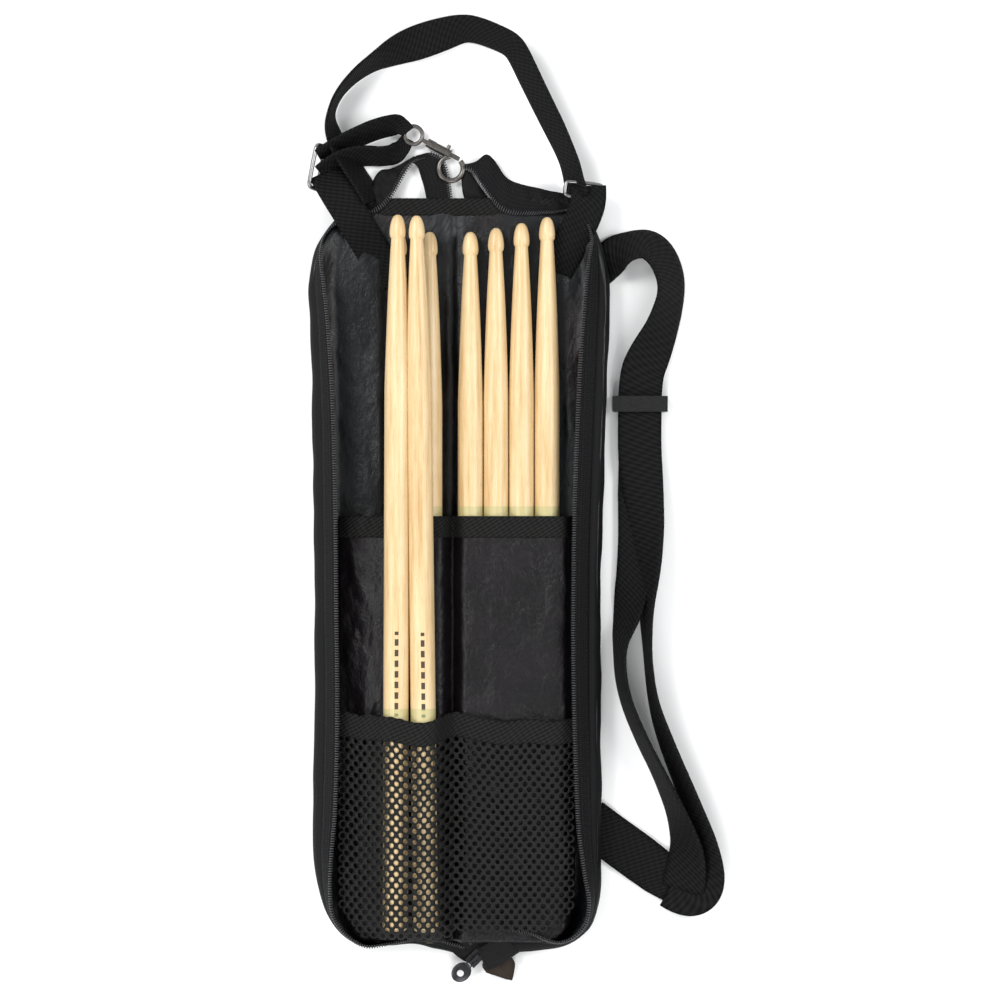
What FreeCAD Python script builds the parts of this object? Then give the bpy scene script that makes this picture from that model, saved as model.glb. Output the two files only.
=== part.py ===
import FreeCAD, Part
import math
import os
import sys

import Sketcher

# Drum stick bag, lying open on its back like a book. Millimetres. The origin is on the back face
# at the middle of the spine: +X to the right half, +Y to the top edge, +Z out of the open bag.
# The left half folds over the right one about an axis along Y at x = 0, z = 34 mm.

SIZES = {
    # outline of one half
    "half_width": 83.0,
    "top_edge": 213.0,
    "bottom_edge": 214.2,
    "spine_gap": 1.2,
    "bottom_radius": 24.0,
    "top_radius": 12.0,
    # layers of the padded panel, from the outside in
    "shell_thick": 1.2,
    "foam_thick": 4.0,
    "lining_thick": 0.5,
    "binding_thick": 0.6,
    "binding_width": 9.0,
    # pockets
    "cloth": 0.7,
    "pocket_outer": 66.5,
    "pocket_bottom": 213.4,
    "upper_mouth": 30.5,
    "upper_top": 22.1,
    "mesh_mouth": -84.0,
    "mesh_binding_width": 11.0,
    "left_mesh_top": 38.4,
    "right_mesh_top": 27.4,
    # gusset, zip and webbing
    "gusset_thick": 1.2,
    "tape_thick": 0.7,
    "coil_width": 2.6,
    "coil_thick": 2.2,
    "hanger_width": 20.0,
    "hanger_thick": 1.3,
    "shoulder_width": 25.0,
    "shoulder_thick": 1.5,
    # drumstick, sixteen inches long
    "stick_length": 406.0,
    "stick_radius": 7.2,
    "taper_length": 86.0,
    "neck_radius": 3.7,
    "tip_length": 14.0,
    "tip_radius": 4.6,
    # snap hook
    "eye_radius": 5.2,
    "eye_wire": 1.2,
    "pin_radius": 1.2,
    "barrel_radius": 2.6,
    "barrel_start": 9.0,
    "barrel_end": 24.0,
    "bolt_radius": 1.3,
    "hook_loop_radius": 7.0,
    "hook_wire": 1.5,
    "running_gap": 0.05,
}

UP = FreeCAD.Vector(0, 0, 1)

os.makedirs("parts", exist_ok=True)
doc = FreeCAD.newDocument("drum_stick_bag")
sheet = doc.addObject("Spreadsheet::Sheet", "Sizes")
for row, (name, size) in enumerate(SIZES.items(), start=1):
    sheet.set(f"A{row}", name)
    sheet.set(f"B{row}", str(size))
    sheet.setAlias(f"B{row}", name)
doc.recompute()

subparts = []


def size(name):
    return float(sheet.get(name))


def value(expression):
    return float(sheet.evalExpression(expression))


def vec(x, y, z=0.0):
    return FreeCAD.Vector(x, y, z)


def keep(piece, label):
    """Names a sub-part's object and puts it on the list of those written out."""
    piece.Label = label
    subparts.append(piece)
    return piece


def bind(piece, **expressions):
    for prop, expression in expressions.items():
        piece.setExpression(prop.replace("_at_", ".Base.").replace("place", "Placement"), expression)


# ---- PartDesign helpers ------------------------------------------------------------------------


def origin_plane(body, role):
    return next(f for f in body.Origin.OriginFeatures if f.Role == role)


def sketch_polygon(sketch, corners):
    """A closed outline whose corners are pairs of expressions on the sheet's aliases."""
    first = sketch.GeometryCount
    spots = [vec(value(x), value(y)) for x, y in corners]
    for start, end in zip(spots, spots[1:] + spots[:1]):
        sketch.addGeometry(Part.LineSegment(start, end), False)
    count = len(corners)
    for i in range(count):
        sketch.addConstraint(Sketcher.Constraint("Coincident", first + i, 2, first + (i + 1) % count, 1))
    for i, (x, y) in enumerate(corners):
        for kind, expression in (("DistanceX", x), ("DistanceY", y)):
            index = sketch.addConstraint(
                Sketcher.Constraint(kind, -1, 1, first + i, 1, value(expression)))
            sketch.setExpression(f"Constraints[{index}]", expression)


def pad_body(label, outlines, thick, low="0"):
    """A Body with one Pad of the outlines, standing on z = low. Later outlines are its holes."""
    body = doc.addObject("PartDesign::Body", label + "_body")
    sketch = body.newObject("Sketcher::SketchObject", label + "_outline")
    sketch.AttachmentSupport = (origin_plane(body, "XY_Plane"), [""])
    sketch.MapMode = "FlatFace"
    for corners in outlines:
        sketch_polygon(sketch, corners)
    sketch.setExpression("AttachmentOffset.Base.z", low)
    pad = body.newObject("PartDesign::Pad", label + "_pad")
    pad.Profile = sketch
    pad.setExpression("Length", thick)
    doc.recompute()
    return keep(body, label)


def round_corner(body, x, y, radius):
    """Rounds the upright edge that stands at x, y."""
    base = body.Tip
    names = [
        f"Edge{i}" for i, edge in enumerate(base.Shape.Edges, start=1)
        if all(abs(v.X - value(x)) < 0.01 and abs(v.Y - value(y)) < 0.01 for v in edge.Vertexes)]
    fillet = body.newObject("PartDesign::Fillet", body.Label + "_round")
    fillet.Base = (base, names)
    fillet.setExpression("Radius", radius)
    body.Tip = fillet
    doc.recompute()


# ---- Part helpers ------------------------------------------------------------------------------


def box(name, x0, y0, z0, length, width, height):
    piece = doc.addObject("Part::Box", name)
    bind(piece, Length=length, Width=width, Height=height, place_at_x=x0, place_at_y=y0, place_at_z=z0)
    return piece


def side_box(name, side, inner, outer, y0, y1, z0, z1):
    """A box from inner to outer, measured from the spine towards the given side."""
    x0 = inner if side > 0 else f"-({outer})"
    return box(name, x0, y0, z0, f"{outer} - ({inner})", f"{y1} - ({y0})", f"{z1} - ({z0})")


def cut(name, base, tool):
    piece = doc.addObject("Part::Cut", name)
    piece.Base = base
    piece.Tool = tool
    return piece


def fuse(name, pieces):
    piece = doc.addObject("Part::MultiFuse", name)
    piece.Shapes = pieces
    return piece


def cylinder(name, radius, start, length, y="0"):
    """A cylinder along X, in a fitting's own frame."""
    piece = doc.addObject("Part::Cylinder", name)
    bind(piece, Radius=radius, Height=length)
    piece.Placement = FreeCAD.Placement(vec(0, 0), FreeCAD.Rotation(vec(0, 1, 0), 90))
    bind(piece, place_at_x=start, place_at_y=y)
    return piece


def closed_strip(sections):
    """A solid whose sections, each the same number of points, are joined by flat triangles."""
    count = len(sections[0])
    faces = []

    def facet(*points):
        faces.append(Part.Face(Part.makePolygon([*points, points[0]])))

    for a, b in zip(sections, sections[1:]):
        for i in range(count):
            j = (i + 1) % count
            if i < count // 2:
                facet(a[i], a[j], b[j])
                facet(a[i], b[j], b[i])
            else:
                # Opposite walls split along the same diagonal, so that a twist can't make them cross.
                facet(a[i], a[j], b[i])
                facet(a[j], b[j], b[i])
    for end in (sections[0], sections[-1]):
        for i in range(1, count - 1):
            facet(end[0], end[i], end[i + 1])
    solid = Part.Solid(Part.Shell(faces))
    if solid.Volume < 0:
        solid.reverse()
    return solid


def feature(label, shape):
    piece = doc.addObject("Part::Feature", label + "_shape")
    piece.Shape = shape
    return keep(piece, label)


def tangents(points):
    ahead = points[1:] + points[-1:]
    behind = points[:1] + points[:-1]
    return [(b - a).normalize() for a, b in zip(behind, ahead)]


def ribbon(route, width, thick):
    """Webbing along a route of (x, y, z, roll), or (x, y, z, roll, width) where it is pinched."""
    points = [vec(*stop[:3]) for stop in route]
    sections = []
    for centre, along, stop in zip(points, tangents(points), route):
        roll = math.radians(stop[3])
        across = stop[4] if len(stop) > 4 else width
        flat = UP.cross(along).normalize()
        side = flat * math.cos(roll) + along.cross(flat) * math.sin(roll)
        face = along.cross(side).normalize()
        u = side * (across / 2)
        v = face * (thick / 2)
        sections.append([centre - u - v, centre + u - v, centre + u + v, centre - u + v])
    return closed_strip(sections)


def wall(low_line, high_line, thick):
    """A thin wall between two lines of points."""
    sections = []
    for low, high, along in zip(low_line, high_line, tangents(low_line)):
        out = along.cross(high - low).normalize() * (thick / 2)
        sections.append([low - out, high - out, high + out, low + out])
    return closed_strip(sections)


# ---- Panels, linings and pockets: the same on each half ----------------------------------------

LAYERS = [
    ("shell_panel", "Sizes.shell_thick", "0"),
    ("foam_pad", "Sizes.foam_thick", "Sizes.shell_thick"),
    ("lining", "Sizes.lining_thick", "Sizes.shell_thick + Sizes.foam_thick"),
]
LINING_TOP = "Sizes.shell_thick + Sizes.foam_thick + Sizes.lining_thick"


def panel(label, side, thick, low):
    sign = "" if side > 0 else "-"
    inner = f"{sign}Sizes.spine_gap"
    outer = f"{sign}Sizes.half_width"
    corners = [
        (inner, "-Sizes.bottom_edge"),
        (outer, "-Sizes.bottom_edge"),
        (outer, "Sizes.top_edge"),
        (inner, "Sizes.top_edge"),
    ]
    body = pad_body(label, [corners], thick, low)
    round_corner(body, outer, "-Sizes.bottom_edge", "Sizes.bottom_radius")
    round_corner(body, outer, "Sizes.top_edge", "Sizes.top_radius")


def pocket(label, side, mouth, low, high):
    """Cloth sewn down along its outer edge and along the spine, and open at its mouth."""
    reach = "Sizes.spine_gap", "Sizes.pocket_outer"
    outer = side_box(label + "_outer", side, *reach, "-Sizes.pocket_bottom", mouth, low, high)
    inner = side_box(
        label + "_room", side, "Sizes.spine_gap + Sizes.cloth", "Sizes.pocket_outer - Sizes.cloth",
        "-Sizes.pocket_bottom - 1", f"{mouth} + 1", f"{low} - 1", f"{high} - Sizes.cloth")
    keep(cut(label + "_cloth", outer, inner), label)


for half, side in (("left", -1), ("right", 1)):
    for layer, thick, low in LAYERS:
        panel(f"{half}_{layer}", side, thick, low)
    keep(side_box(
        f"{half}_top_edge", side, "Sizes.spine_gap", "Sizes.half_width - Sizes.top_radius",
        "Sizes.top_edge - Sizes.binding_width", "Sizes.top_edge",
        LINING_TOP, f"{LINING_TOP} + Sizes.binding_thick"), f"{half}_top_binding")
    pocket(f"{half}_upper_pocket", side, "Sizes.upper_mouth", LINING_TOP, "Sizes.upper_top")
    keep(side_box(
        f"{half}_upper_edge", side, "Sizes.spine_gap", "Sizes.pocket_outer",
        "Sizes.upper_mouth - Sizes.mesh_binding_width", "Sizes.upper_mouth",
        "Sizes.upper_top", "Sizes.upper_top + Sizes.binding_thick"), f"{half}_upper_binding")
    mesh_top = f"Sizes.{half}_mesh_top"
    pocket(f"{half}_mesh_pocket", side, "Sizes.mesh_mouth", "Sizes.upper_top", mesh_top)
    keep(side_box(
        f"{half}_mesh_edge", side, "Sizes.spine_gap", "Sizes.pocket_outer",
        "Sizes.mesh_mouth - Sizes.mesh_binding_width", "Sizes.mesh_mouth",
        mesh_top, f"{mesh_top} + Sizes.binding_thick"), f"{half}_mesh_binding")

keep(box(
    "spine_fold", "-0.75 * Sizes.spine_gap", "-Sizes.bottom_edge", "0",
    "1.5 * Sizes.spine_gap", "Sizes.bottom_edge + Sizes.top_edge", LINING_TOP), "spine_strip")

# ---- Gusset, zip tape and coil -----------------------------------------------------------------
# Each stop is where the wall starts on the panel, where the tape is sewn to the wall, and where
# the coil runs. The wall stands and leans in along the side and the bottom, and lies folded
# outwards along the top edge, clear of the sticks' way out.

RIGHT_WALL = [
    ((6, -214.0, 6.4), (6, -215.4, 7.2), (7.2, -217.4, 7.4)),
    ((12, -214.0, 6.4), (12, -215.1, 10), (12.2, -216.6, 13.2)),
    ((20, -214.0, 6.4), (20, -214.4, 14), (19.4, -213.8, 20)),
    ((40, -214.0, 6.4), (40, -214.2, 19), (40, -210.4, 25.8)),
    ((58, -214.0, 6.4), (57.5, -214.1, 20), (56, -209.6, 26)),
    ((70.6, -210.6, 6.4), (69.8, -210.0, 20.5), (66.6, -206.2, 26.6)),
    ((78.6, -203, 6.4), (77.6, -202.4, 21.5), (72.4, -198.6, 29)),
    ((82.2, -193, 6.4), (80, -191, 22), (73.4, -188, 30.4)),
    ((82.2, -130, 6.4), (78, -130, 22), (70.4, -130, 30.8)),
    ((82.2, -10, 6.4), (77.5, -10, 22), (69.4, -10, 30.8)),
    ((82.2, 100, 6.4), (78, 100, 22), (71, 100, 30.8)),
    ((82.2, 180, 6.4), (80.5, 180, 20), (75.5, 180, 28)),
    ((81.6, 205, 6.4), (82.6, 207, 11), (80.5, 208, 16)),
    ((77.6, 209.6, 6.4), (78.4, 212.2, 7.6), (77, 214.6, 9.6)),
    ((72, 212.6, 6.4), (72, 214.4, 6.2), (71, 217.4, 6)),
    ((61, 214.1, 3.4), (61, 215.4, 3.6), (61, 218, 3.8)),
    ((42, 214.1, 2.4), (42, 215.6, 2.8), (41, 218.2, 3.2)),
    ((28, 214.1, 2.4), (27, 218, 2.8), (25, 223, 3.2)),
    ((18, 214.1, 2.4), (17.5, 220, 2.8), (16.5, 227, 3.2)),
    ((11, 214.1, 2.4), (11, 222, 2.8), (11, 229.5, 3.2)),
]
LEFT_WALL = [
    ((-5, -214.0, 6.4), (-5, -214.8, 8.5), (-5.5, -216, 11)),
    ((-20, -214.0, 6.4), (-20, -214.6, 17), (-20, -214.6, 25)),
    ((-40, -214.0, 6.4), (-40, -214.2, 22), (-40, -212.6, 30.6)),
    ((-58, -214.0, 6.4), (-57.5, -214.1, 22), (-56, -210.6, 30.8)),
    ((-70.6, -210.6, 6.4), (-69.8, -210.0, 22), (-66.4, -206.4, 30.8)),
    ((-78.6, -203, 6.4), (-77.6, -202.4, 22), (-71.4, -198.8, 30.8)),
    ((-82.2, -193, 6.4), (-80, -191, 22), (-72.4, -188, 30.8)),
    ((-82.2, -130, 6.4), (-78, -130, 22), (-69.6, -130, 30.8)),
    ((-82.2, -10, 6.4), (-77.5, -10, 22), (-69.4, -10, 30.8)),
    ((-82.2, 100, 6.4), (-78, 100, 22), (-70.6, 100, 30.8)),
    ((-82.2, 180, 6.4), (-80.5, 180, 20), (-76, 180, 28)),
    ((-81.6, 204, 6.4), (-81, 206, 11), (-76, 205, 16)),
    ((-72, 212.6, 6.4), (-70, 213.6, 6.8), (-66, 215.4, 7)),
    ((-60, 214.1, 3.6), (-59, 215.4, 3.8), (-57, 217.4, 4)),
    ((-44, 214.1, 3.2), (-43, 215.8, 3.4), (-42, 218.4, 3.6)),
    ((-34, 214.1, 3.2), (-33, 219, 3.4), (-32, 227, 3.6)),
    ((-24, 214.1, 3.2), (-23, 223, 3.4), (-22, 234, 3.6)),
    ((-14.6, 214.1, 3.2), (-14.6, 225, 3.4), (-14.6, 237, 3.6)),
]

for half, stops in (("left", LEFT_WALL), ("right", RIGHT_WALL)):
    base, seam, rim = ([vec(*stop[i]) for stop in stops] for i in range(3))
    tape_low = [a + (b - a) * 0.04 for a, b in zip(seam, rim)]
    feature(f"{half}_gusset", wall(base, seam, size("gusset_thick")))
    feature(f"{half}_zip_tape", wall(tape_low, rim, size("tape_thick")))
    reach = [(b - a).normalize() * size("coil_width") for a, b in zip(seam, rim)]
    coil_in = [point + step * 0.04 for point, step in zip(rim, reach)]
    coil_out = [point + step for point, step in zip(rim, reach)]
    feature(f"{half}_zip_coil", wall(coil_in, coil_out, size("coil_thick") / 2))

# ---- Closed end of the zip, its slider and pull ------------------------------------------------

TAIL = [("5.5", "-222"), ("15.5", "-222"), ("17", "-224"), ("19", "-224"), ("19", "-234"),
        ("12", "-231"), ("5.5", "-228")]
pad_body("zip_tail", [TAIL], "1.4", "2.5")
TAB = [("19.3", "-221.8"), ("32.5", "-221.8"), ("34", "-235"), ("19.3", "-236")]
pad_body("zip_end_tab", [TAB], "2.4", "2.0")

# Modelled along its own X axis, with the pull towards +X, then placed. The tail passes between its
# two plates, behind the post that parts the coils.
SLIDER_PLACE = FreeCAD.Placement(vec(10.8, -222.6), FreeCAD.Rotation(UP, 225))

slider_low = box("slider_low", "-5", "-3.5", "1.0", "10", "7", "1.1")
slider_high = box("slider_high", "-5", "-3.5", "4.3", "10", "7", "1.1")
slider_post = box("slider_post", "-5", "-1", "1.5", "2", "2", "3.4")
bridge = box("slider_bridge", "-2.5", "-0.8", "5.2", "7", "1.6", "2.8")
bridge_room = box("slider_bridge_room", "-1.1", "-2", "5.5", "4.2", "4", "1.6")
slider = keep(fuse("slider_casting", [
    slider_low, slider_high, slider_post, cut("slider_bridge_bent", bridge, bridge_room)]), "zip_slider")

PULL_X = 1.0
PULL_Z = 6.3


def rod(name, radius, start, turn, length):
    piece = doc.addObject("Part::Cylinder", name)
    piece.Radius = radius
    piece.Height = length
    piece.Placement = FreeCAD.Placement(start, turn)
    return piece


def zip_pull():
    """An oval plate with a hole, on a wire yoke whose pin turns in the slider's bridge."""
    along_x = FreeCAD.Rotation(vec(0, 1, 0), 90)
    along_y = FreeCAD.Rotation(vec(1, 0, 0), -90)
    plate = doc.addObject("Part::Ellipsoid", "pull_oval")
    plate.Radius1 = 1.1
    plate.Radius2 = 6.2
    plate.Radius3 = 5.2
    plate.Placement = FreeCAD.Placement(vec(PULL_X + 10.6, 0, PULL_Z), FreeCAD.Rotation())
    parts = [plate, rod("pull_pin", 0.5, vec(PULL_X, -1.9, PULL_Z), along_y, 3.8)]
    for name, y in (("pull_arm_a", -1.5), ("pull_arm_b", 1.5)):
        parts.append(rod(name, 0.45, vec(PULL_X, y, PULL_Z), along_x, 5.6))
    hole = rod("pull_hole", 2.0, vec(PULL_X + 11.4, 0, PULL_Z - 2), FreeCAD.Rotation(), 4)
    return keep(cut("pull_holed", fuse("pull_solid", parts), hole), "zip_pull")


for fitting in (slider, zip_pull()):
    fitting.Placement = SLIDER_PLACE

# ---- Drumsticks --------------------------------------------------------------------------------


def drumstick(label, x, butt_y, z):
    """A body of revolution about Y, from its rounded butt to its acorn tip."""
    body = doc.addObject("PartDesign::Body", label + "_body")
    sketch = body.newObject("Sketcher::SketchObject", label + "_profile")
    sketch.AttachmentSupport = (origin_plane(body, "XY_Plane"), [""])
    sketch.MapMode = "FlatFace"
    full, neck, tip = "Sizes.stick_radius", "Sizes.neck_radius", "Sizes.tip_radius"
    end, acorn = "Sizes.stick_length", "Sizes.tip_length"
    sketch_polygon(sketch, [
        ("0", "0"), (f"{full} - 2", "0"), (full, "2.5"),
        (full, f"{end} - Sizes.taper_length - {acorn}"),
        (f"0.52 * {full} + 0.48 * {neck}", f"{end} - 0.42 * Sizes.taper_length - {acorn}"),
        (neck, f"{end} - {acorn}"), (tip, f"{end} - 0.72 * {acorn}"),
        (f"0.93 * {tip}", f"{end} - 0.36 * {acorn}"), (f"0.45 * {tip}", f"{end} - 0.05 * {acorn}"),
        ("0", end)])
    turned = body.newObject("PartDesign::Revolution", label + "_turned")
    turned.Profile = sketch
    turned.ReferenceAxis = (sketch, ["V_Axis"])
    turned.Angle = 360
    body.Placement = FreeCAD.Placement(vec(x, butt_y, z), FreeCAD.Rotation())
    return keep(body, label)


BACK_ROW_Z = 13.9
FRONT_ROW_Z = 30.2
STICKS = [
    (-34.0, -204.0, FRONT_ROW_Z), (-19.4, -204.6, FRONT_ROW_Z),
    (-33.0, -212.4, BACK_ROW_Z), (-15.4, -212.4, BACK_ROW_Z),
    (9.4, -212.4, BACK_ROW_Z), (24.0, -210.2, BACK_ROW_Z),
    (38.6, -207.4, BACK_ROW_Z), (53.2, -204.0, BACK_ROW_Z),
]
for number, (x, butt_y, z) in enumerate(STICKS, start=1):
    drumstick(f"drumstick_{number}", x, butt_y, z)

# ---- Hanging straps ----------------------------------------------------------------------------

LEFT_ANCHOR = [(-51, 186, 7.2, 0), (-58, 199, 9.6, 0), (-65.5, 211.5, 14.5, 0),
               (-72.5, 222, 13.5, 20), (-77, 229, 11, 50)]
RIGHT_ANCHOR = [(71, 188, 7.4, 0, 19), (74, 198, 11, 0, 19), (76.4, 207, 16, 0, 18),
                (74, 214.5, 17.8, 0, 18)]
HANGING = [
    (72, 221, 13, -10), (68.6, 232, 9.4, -26), (60.5, 248, 5.4, -14), (49.5, 268, 3.5, -10),
    (39.5, 286, 3.4, -9), (29.5, 299, 3.2, -8), (17, 307, 3.2, -8), (5, 310, 3.2, -8),
    (-8, 308, 3.1, -8), (-21, 304, 3.1, -8), (-35, 298.5, 3.2, -8), (-49, 290.5, 3.4, -8),
    (-60.5, 280, 4.6, -16), (-68.5, 267.5, 8, -35), (-69.5, 254, 3.6, -8), (-66, 241.5, 1, 0),
    (-60, 229.5, 1.3, 0),
]
TOP_HOOK_STRAP = [(-76, 238, 13, 40, 18), (-66.5, 244.5, 13.2, 35, 18), (-56, 251.5, 10.2, 20, 14),
                  (-47, 255.5, 6.2, 4, 10), (-38, 256, 5.6, 0, 7.4), (-30.6, 253, 5.7, 0, 7)]
LOW_HOOK_STRAP = [(-73, 232, 12, 50, 16), (-63, 236, 10.6, 30, 12), (-53, 238.5, 6.4, 10, 9),
                  (-44, 241.5, 3, 0, 8), (-35.5, 246, 1.5, 0, 7.4), (-29.6, 249.4, 1.5, 0, 7)]

hanger = size("hanger_width"), size("hanger_thick")
feature("left_anchor_strap", ribbon(LEFT_ANCHOR, *hanger))
feature("right_anchor_strap", ribbon(RIGHT_ANCHOR, *hanger))
feature("hanging_strap", ribbon(HANGING, *hanger))
feature("hook_strap", Part.makeCompound([
    ribbon(TOP_HOOK_STRAP, hanger[0], 0.9), ribbon(LOW_HOOK_STRAP, hanger[0], 0.9)]))


def slotted_frame(label, length, width, bars, slot, thick):
    """A flat strap slider: an outline with two slots, one each side of its middle bar."""
    def rectangle(x0, y0, x1, y1):
        return [(f"{x0}", f"{y0}"), (f"{x1}", f"{y0}"), (f"{x1}", f"{y1}"), (f"{x0}", f"{y1}")]

    inside = length / 2 - bars
    outlines = [rectangle(-length / 2, -width / 2, length / 2, width / 2)]
    for low in (width / 2 - bars - slot, -width / 2 + bars):
        outlines.append(rectangle(-inside, low, inside, low + slot))
    return pad_body(label, outlines, f"{thick}")


left_slider = slotted_frame("left_strap_slider", 27, 20, 2.8, 5.2, 2.4)
left_slider.Placement = FreeCAD.Placement(
    vec(-78.6, 230.4, 11.4), FreeCAD.Rotation(vec(0.19, 0.98, 0), vec(-0.5, 0.1, 0.86), UP, "XYZ"))

ring_outer = box("ring_outer", "60.9", "212", "14", "23.6", "10.4", "2.4")
ring_room = box("ring_room", "63.3", "214.4", "13", "18.8", "5.6", "5")
keep(cut("ring_wire", ring_outer, ring_room), "right_ring")

# ---- Swivel snap hook --------------------------------------------------------------------------
# Modelled along its own X axis, with its eye at the origin and its loop on -Y, then placed.

HOOK_PLACE = FreeCAD.Placement(vec(-25, 250, 3.8), FreeCAD.Rotation(UP, -27.6))

eye_ring = doc.addObject("Part::Torus", "eye_ring")
bind(eye_ring, Radius1="Sizes.eye_radius", Radius2="Sizes.eye_wire")
eye_pin = cylinder("eye_pin", "Sizes.pin_radius", "Sizes.eye_radius", "6.8")
eye_head = cylinder("eye_head", "1.7", "11.2", "1.4")
eye = keep(fuse("eye_turned", [eye_ring, eye_pin, eye_head]), "snap_hook_eye")

barrel = cylinder(
    "barrel", "Sizes.barrel_radius", "Sizes.barrel_start", "Sizes.barrel_end - Sizes.barrel_start")
pin_hole = cylinder("pin_hole", "Sizes.pin_radius + Sizes.running_gap", "8", "4")
head_room = cylinder("head_room", "1.8", "11", "2")
bolt_hole = cylinder("bolt_hole", "Sizes.bolt_radius + Sizes.running_gap", "13.6", "12")
knob_slot = box("knob_slot", "14", "0", "-1.4", "9", "4", "2.8")
hook_loop = doc.addObject("Part::Torus", "hook_loop")
bind(hook_loop, Radius1="Sizes.hook_loop_radius", Radius2="Sizes.hook_wire")
hook_loop.Angle3 = 306
hook_loop.Placement = FreeCAD.Placement(vec(28, -7, 0), FreeCAD.Rotation(UP, 119))
hook_solid = fuse("hook_solid", [barrel, hook_loop])
hook_rooms = fuse("hook_rooms", [pin_hole, head_room, bolt_hole, knob_slot])
hook = keep(cut("hook_bored", hook_solid, hook_rooms), "snap_hook_body")

bolt_rod = cylinder("bolt_rod", "Sizes.bolt_radius", "19.2", "10.6")
knob_stem = doc.addObject("Part::Cylinder", "knob_stem")
knob_stem.Radius = 1.1
knob_stem.Height = 4.6
knob_stem.Placement = FreeCAD.Placement(vec(21.2, 0, 0), FreeCAD.Rotation(vec(1, 0, 0), -90))
bolt = keep(fuse("bolt_turned", [bolt_rod, knob_stem]), "snap_hook_bolt")

for fitting in (eye, hook, bolt):
    fitting.Placement = HOOK_PLACE

# ---- Shoulder strap ----------------------------------------------------------------------------

SHOULDER = [
    (85, 176, 3.0, 0, 18), (92, 184, 5.5, -18, 22), (102, 190, 9, -38), (112, 188, 9.4, -42),
    (120, 178, 7, -28), (123, 162, 4.8, -16), (119, 142, 4.4, -12), (111.5, 124, 4.6, -4),
    (105.6, 112, 5, 0), (105.2, 60, 5, 0), (107, 38, 4.8, 4), (108.4, 14, 5.4, 14),
    (108.4, -12, 8, 35), (107.6, -38, 12, 60), (111, -66, 12.4, 66), (118, -92, 10.4, 50),
    (129, -118, 7.4, 30), (138.5, -141, 5.2, 14), (142.4, -161, 4.4, 4), (140.4, -178, 3.8, 0),
    (133, -188.5, 3.2, 0),
]
RETURN = [
    (105.2, 84, 2.2, 0, 21), (104.8, 52, 2.2, 0, 21), (104, 24, 2.2, 2, 21), (102, -4, 3.4, 12, 21),
    (96.6, -36, 7.8, 40, 21), (96.6, -70, 10.6, 62, 21), (107, -100, 10.8, 62, 21),
    (120, -126, 9.4, 56, 21), (128.4, -148, 7, 36, 21), (130.4, -165, 3.8, 14, 21),
    (127.4, -179, 2.4, 0, 21),
]
LOWER_TAB = [(84.5, -152, 0.9, 0), (100, -162, 0.9, 0), (116, -174.5, 0.9, 0), (131, -187, 0.9, 0)]

shoulder = size("shoulder_width"), size("shoulder_thick")
feature("shoulder_strap", ribbon(SHOULDER, *shoulder))
feature("shoulder_strap_return", ribbon(RETURN, shoulder[0], 1.2))
feature("shoulder_lower_tab", ribbon(LOWER_TAB, shoulder[0], 1.2))

# The plastic slider wraps both runs of the strap: a flat tube with a bar between them.
tube_outer = box("tube_outer", "89.4", "91", "0.6", "31.6", "9", "8")
strap_room = box("strap_room", "92.2", "90", "3.6", "26", "11", "2.8")
return_room = box("return_room", "92.2", "90", "1.3", "26", "11", "1.8")
keep(cut("tube_bored", tube_outer, fuse("tube_rooms", [strap_room, return_room])),
     "shoulder_strap_slider")

# ---- Checks, then one file for each sub-part ---------------------------------------------------

doc.recompute()
faults = [f"{o.Label}: {o.State}" for o in doc.Objects if {"Invalid", "Error"} & set(o.State)]
for piece in subparts:
    shape = piece.Shape
    if shape.isNull() or not shape.isValid() or not shape.Solids or shape.Volume <= 0:
        faults.append(f"{piece.Label}: bad shape")
if faults:
    print("\n".join(faults))
    sys.exit(1)
for piece in subparts:
    piece.Shape.exportStep(f"parts/{piece.Label}.step")
    print(f"{piece.Label}: {len(piece.Shape.Solids)} solid, {piece.Shape.Volume:.0f} mm3")
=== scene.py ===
import math

import bpy
import numpy as np
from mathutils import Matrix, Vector, noise


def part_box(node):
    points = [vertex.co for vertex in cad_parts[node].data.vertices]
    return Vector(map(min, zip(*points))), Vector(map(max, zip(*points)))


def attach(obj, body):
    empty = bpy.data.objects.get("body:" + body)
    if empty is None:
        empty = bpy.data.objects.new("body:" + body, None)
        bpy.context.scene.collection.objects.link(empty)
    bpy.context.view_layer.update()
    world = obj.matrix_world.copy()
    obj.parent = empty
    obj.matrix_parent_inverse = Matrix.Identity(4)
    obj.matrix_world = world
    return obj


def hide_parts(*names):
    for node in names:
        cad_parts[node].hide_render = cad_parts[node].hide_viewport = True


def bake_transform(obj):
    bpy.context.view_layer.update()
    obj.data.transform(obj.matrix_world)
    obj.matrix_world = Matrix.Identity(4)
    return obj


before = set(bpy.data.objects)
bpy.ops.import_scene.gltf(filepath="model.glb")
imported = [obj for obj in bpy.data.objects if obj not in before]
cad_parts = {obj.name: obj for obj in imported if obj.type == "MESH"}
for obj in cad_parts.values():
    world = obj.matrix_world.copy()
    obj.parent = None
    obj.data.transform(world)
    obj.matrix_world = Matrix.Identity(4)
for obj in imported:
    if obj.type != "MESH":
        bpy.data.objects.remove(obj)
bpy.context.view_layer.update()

# Drum stick bag lying open on its back. Lengths below are in millimetres, in the CAD's frame, and
# MM turns them into metres. Fabric that crosses the spine is one piece.

MM = 0.001
scene = bpy.context.scene

LINING_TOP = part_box("right_lining")[1].z / MM
UPPER_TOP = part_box("right_upper_pocket")[1].z / MM
UPPER_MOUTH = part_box("right_upper_pocket")[1].y / MM
MESH_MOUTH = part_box("right_mesh_pocket")[1].y / MM
POCKET_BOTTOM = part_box("right_upper_pocket")[0].y / MM
TOP_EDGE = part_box("right_lining")[1].y / MM
HALF_WIDTH = 83.0

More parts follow.
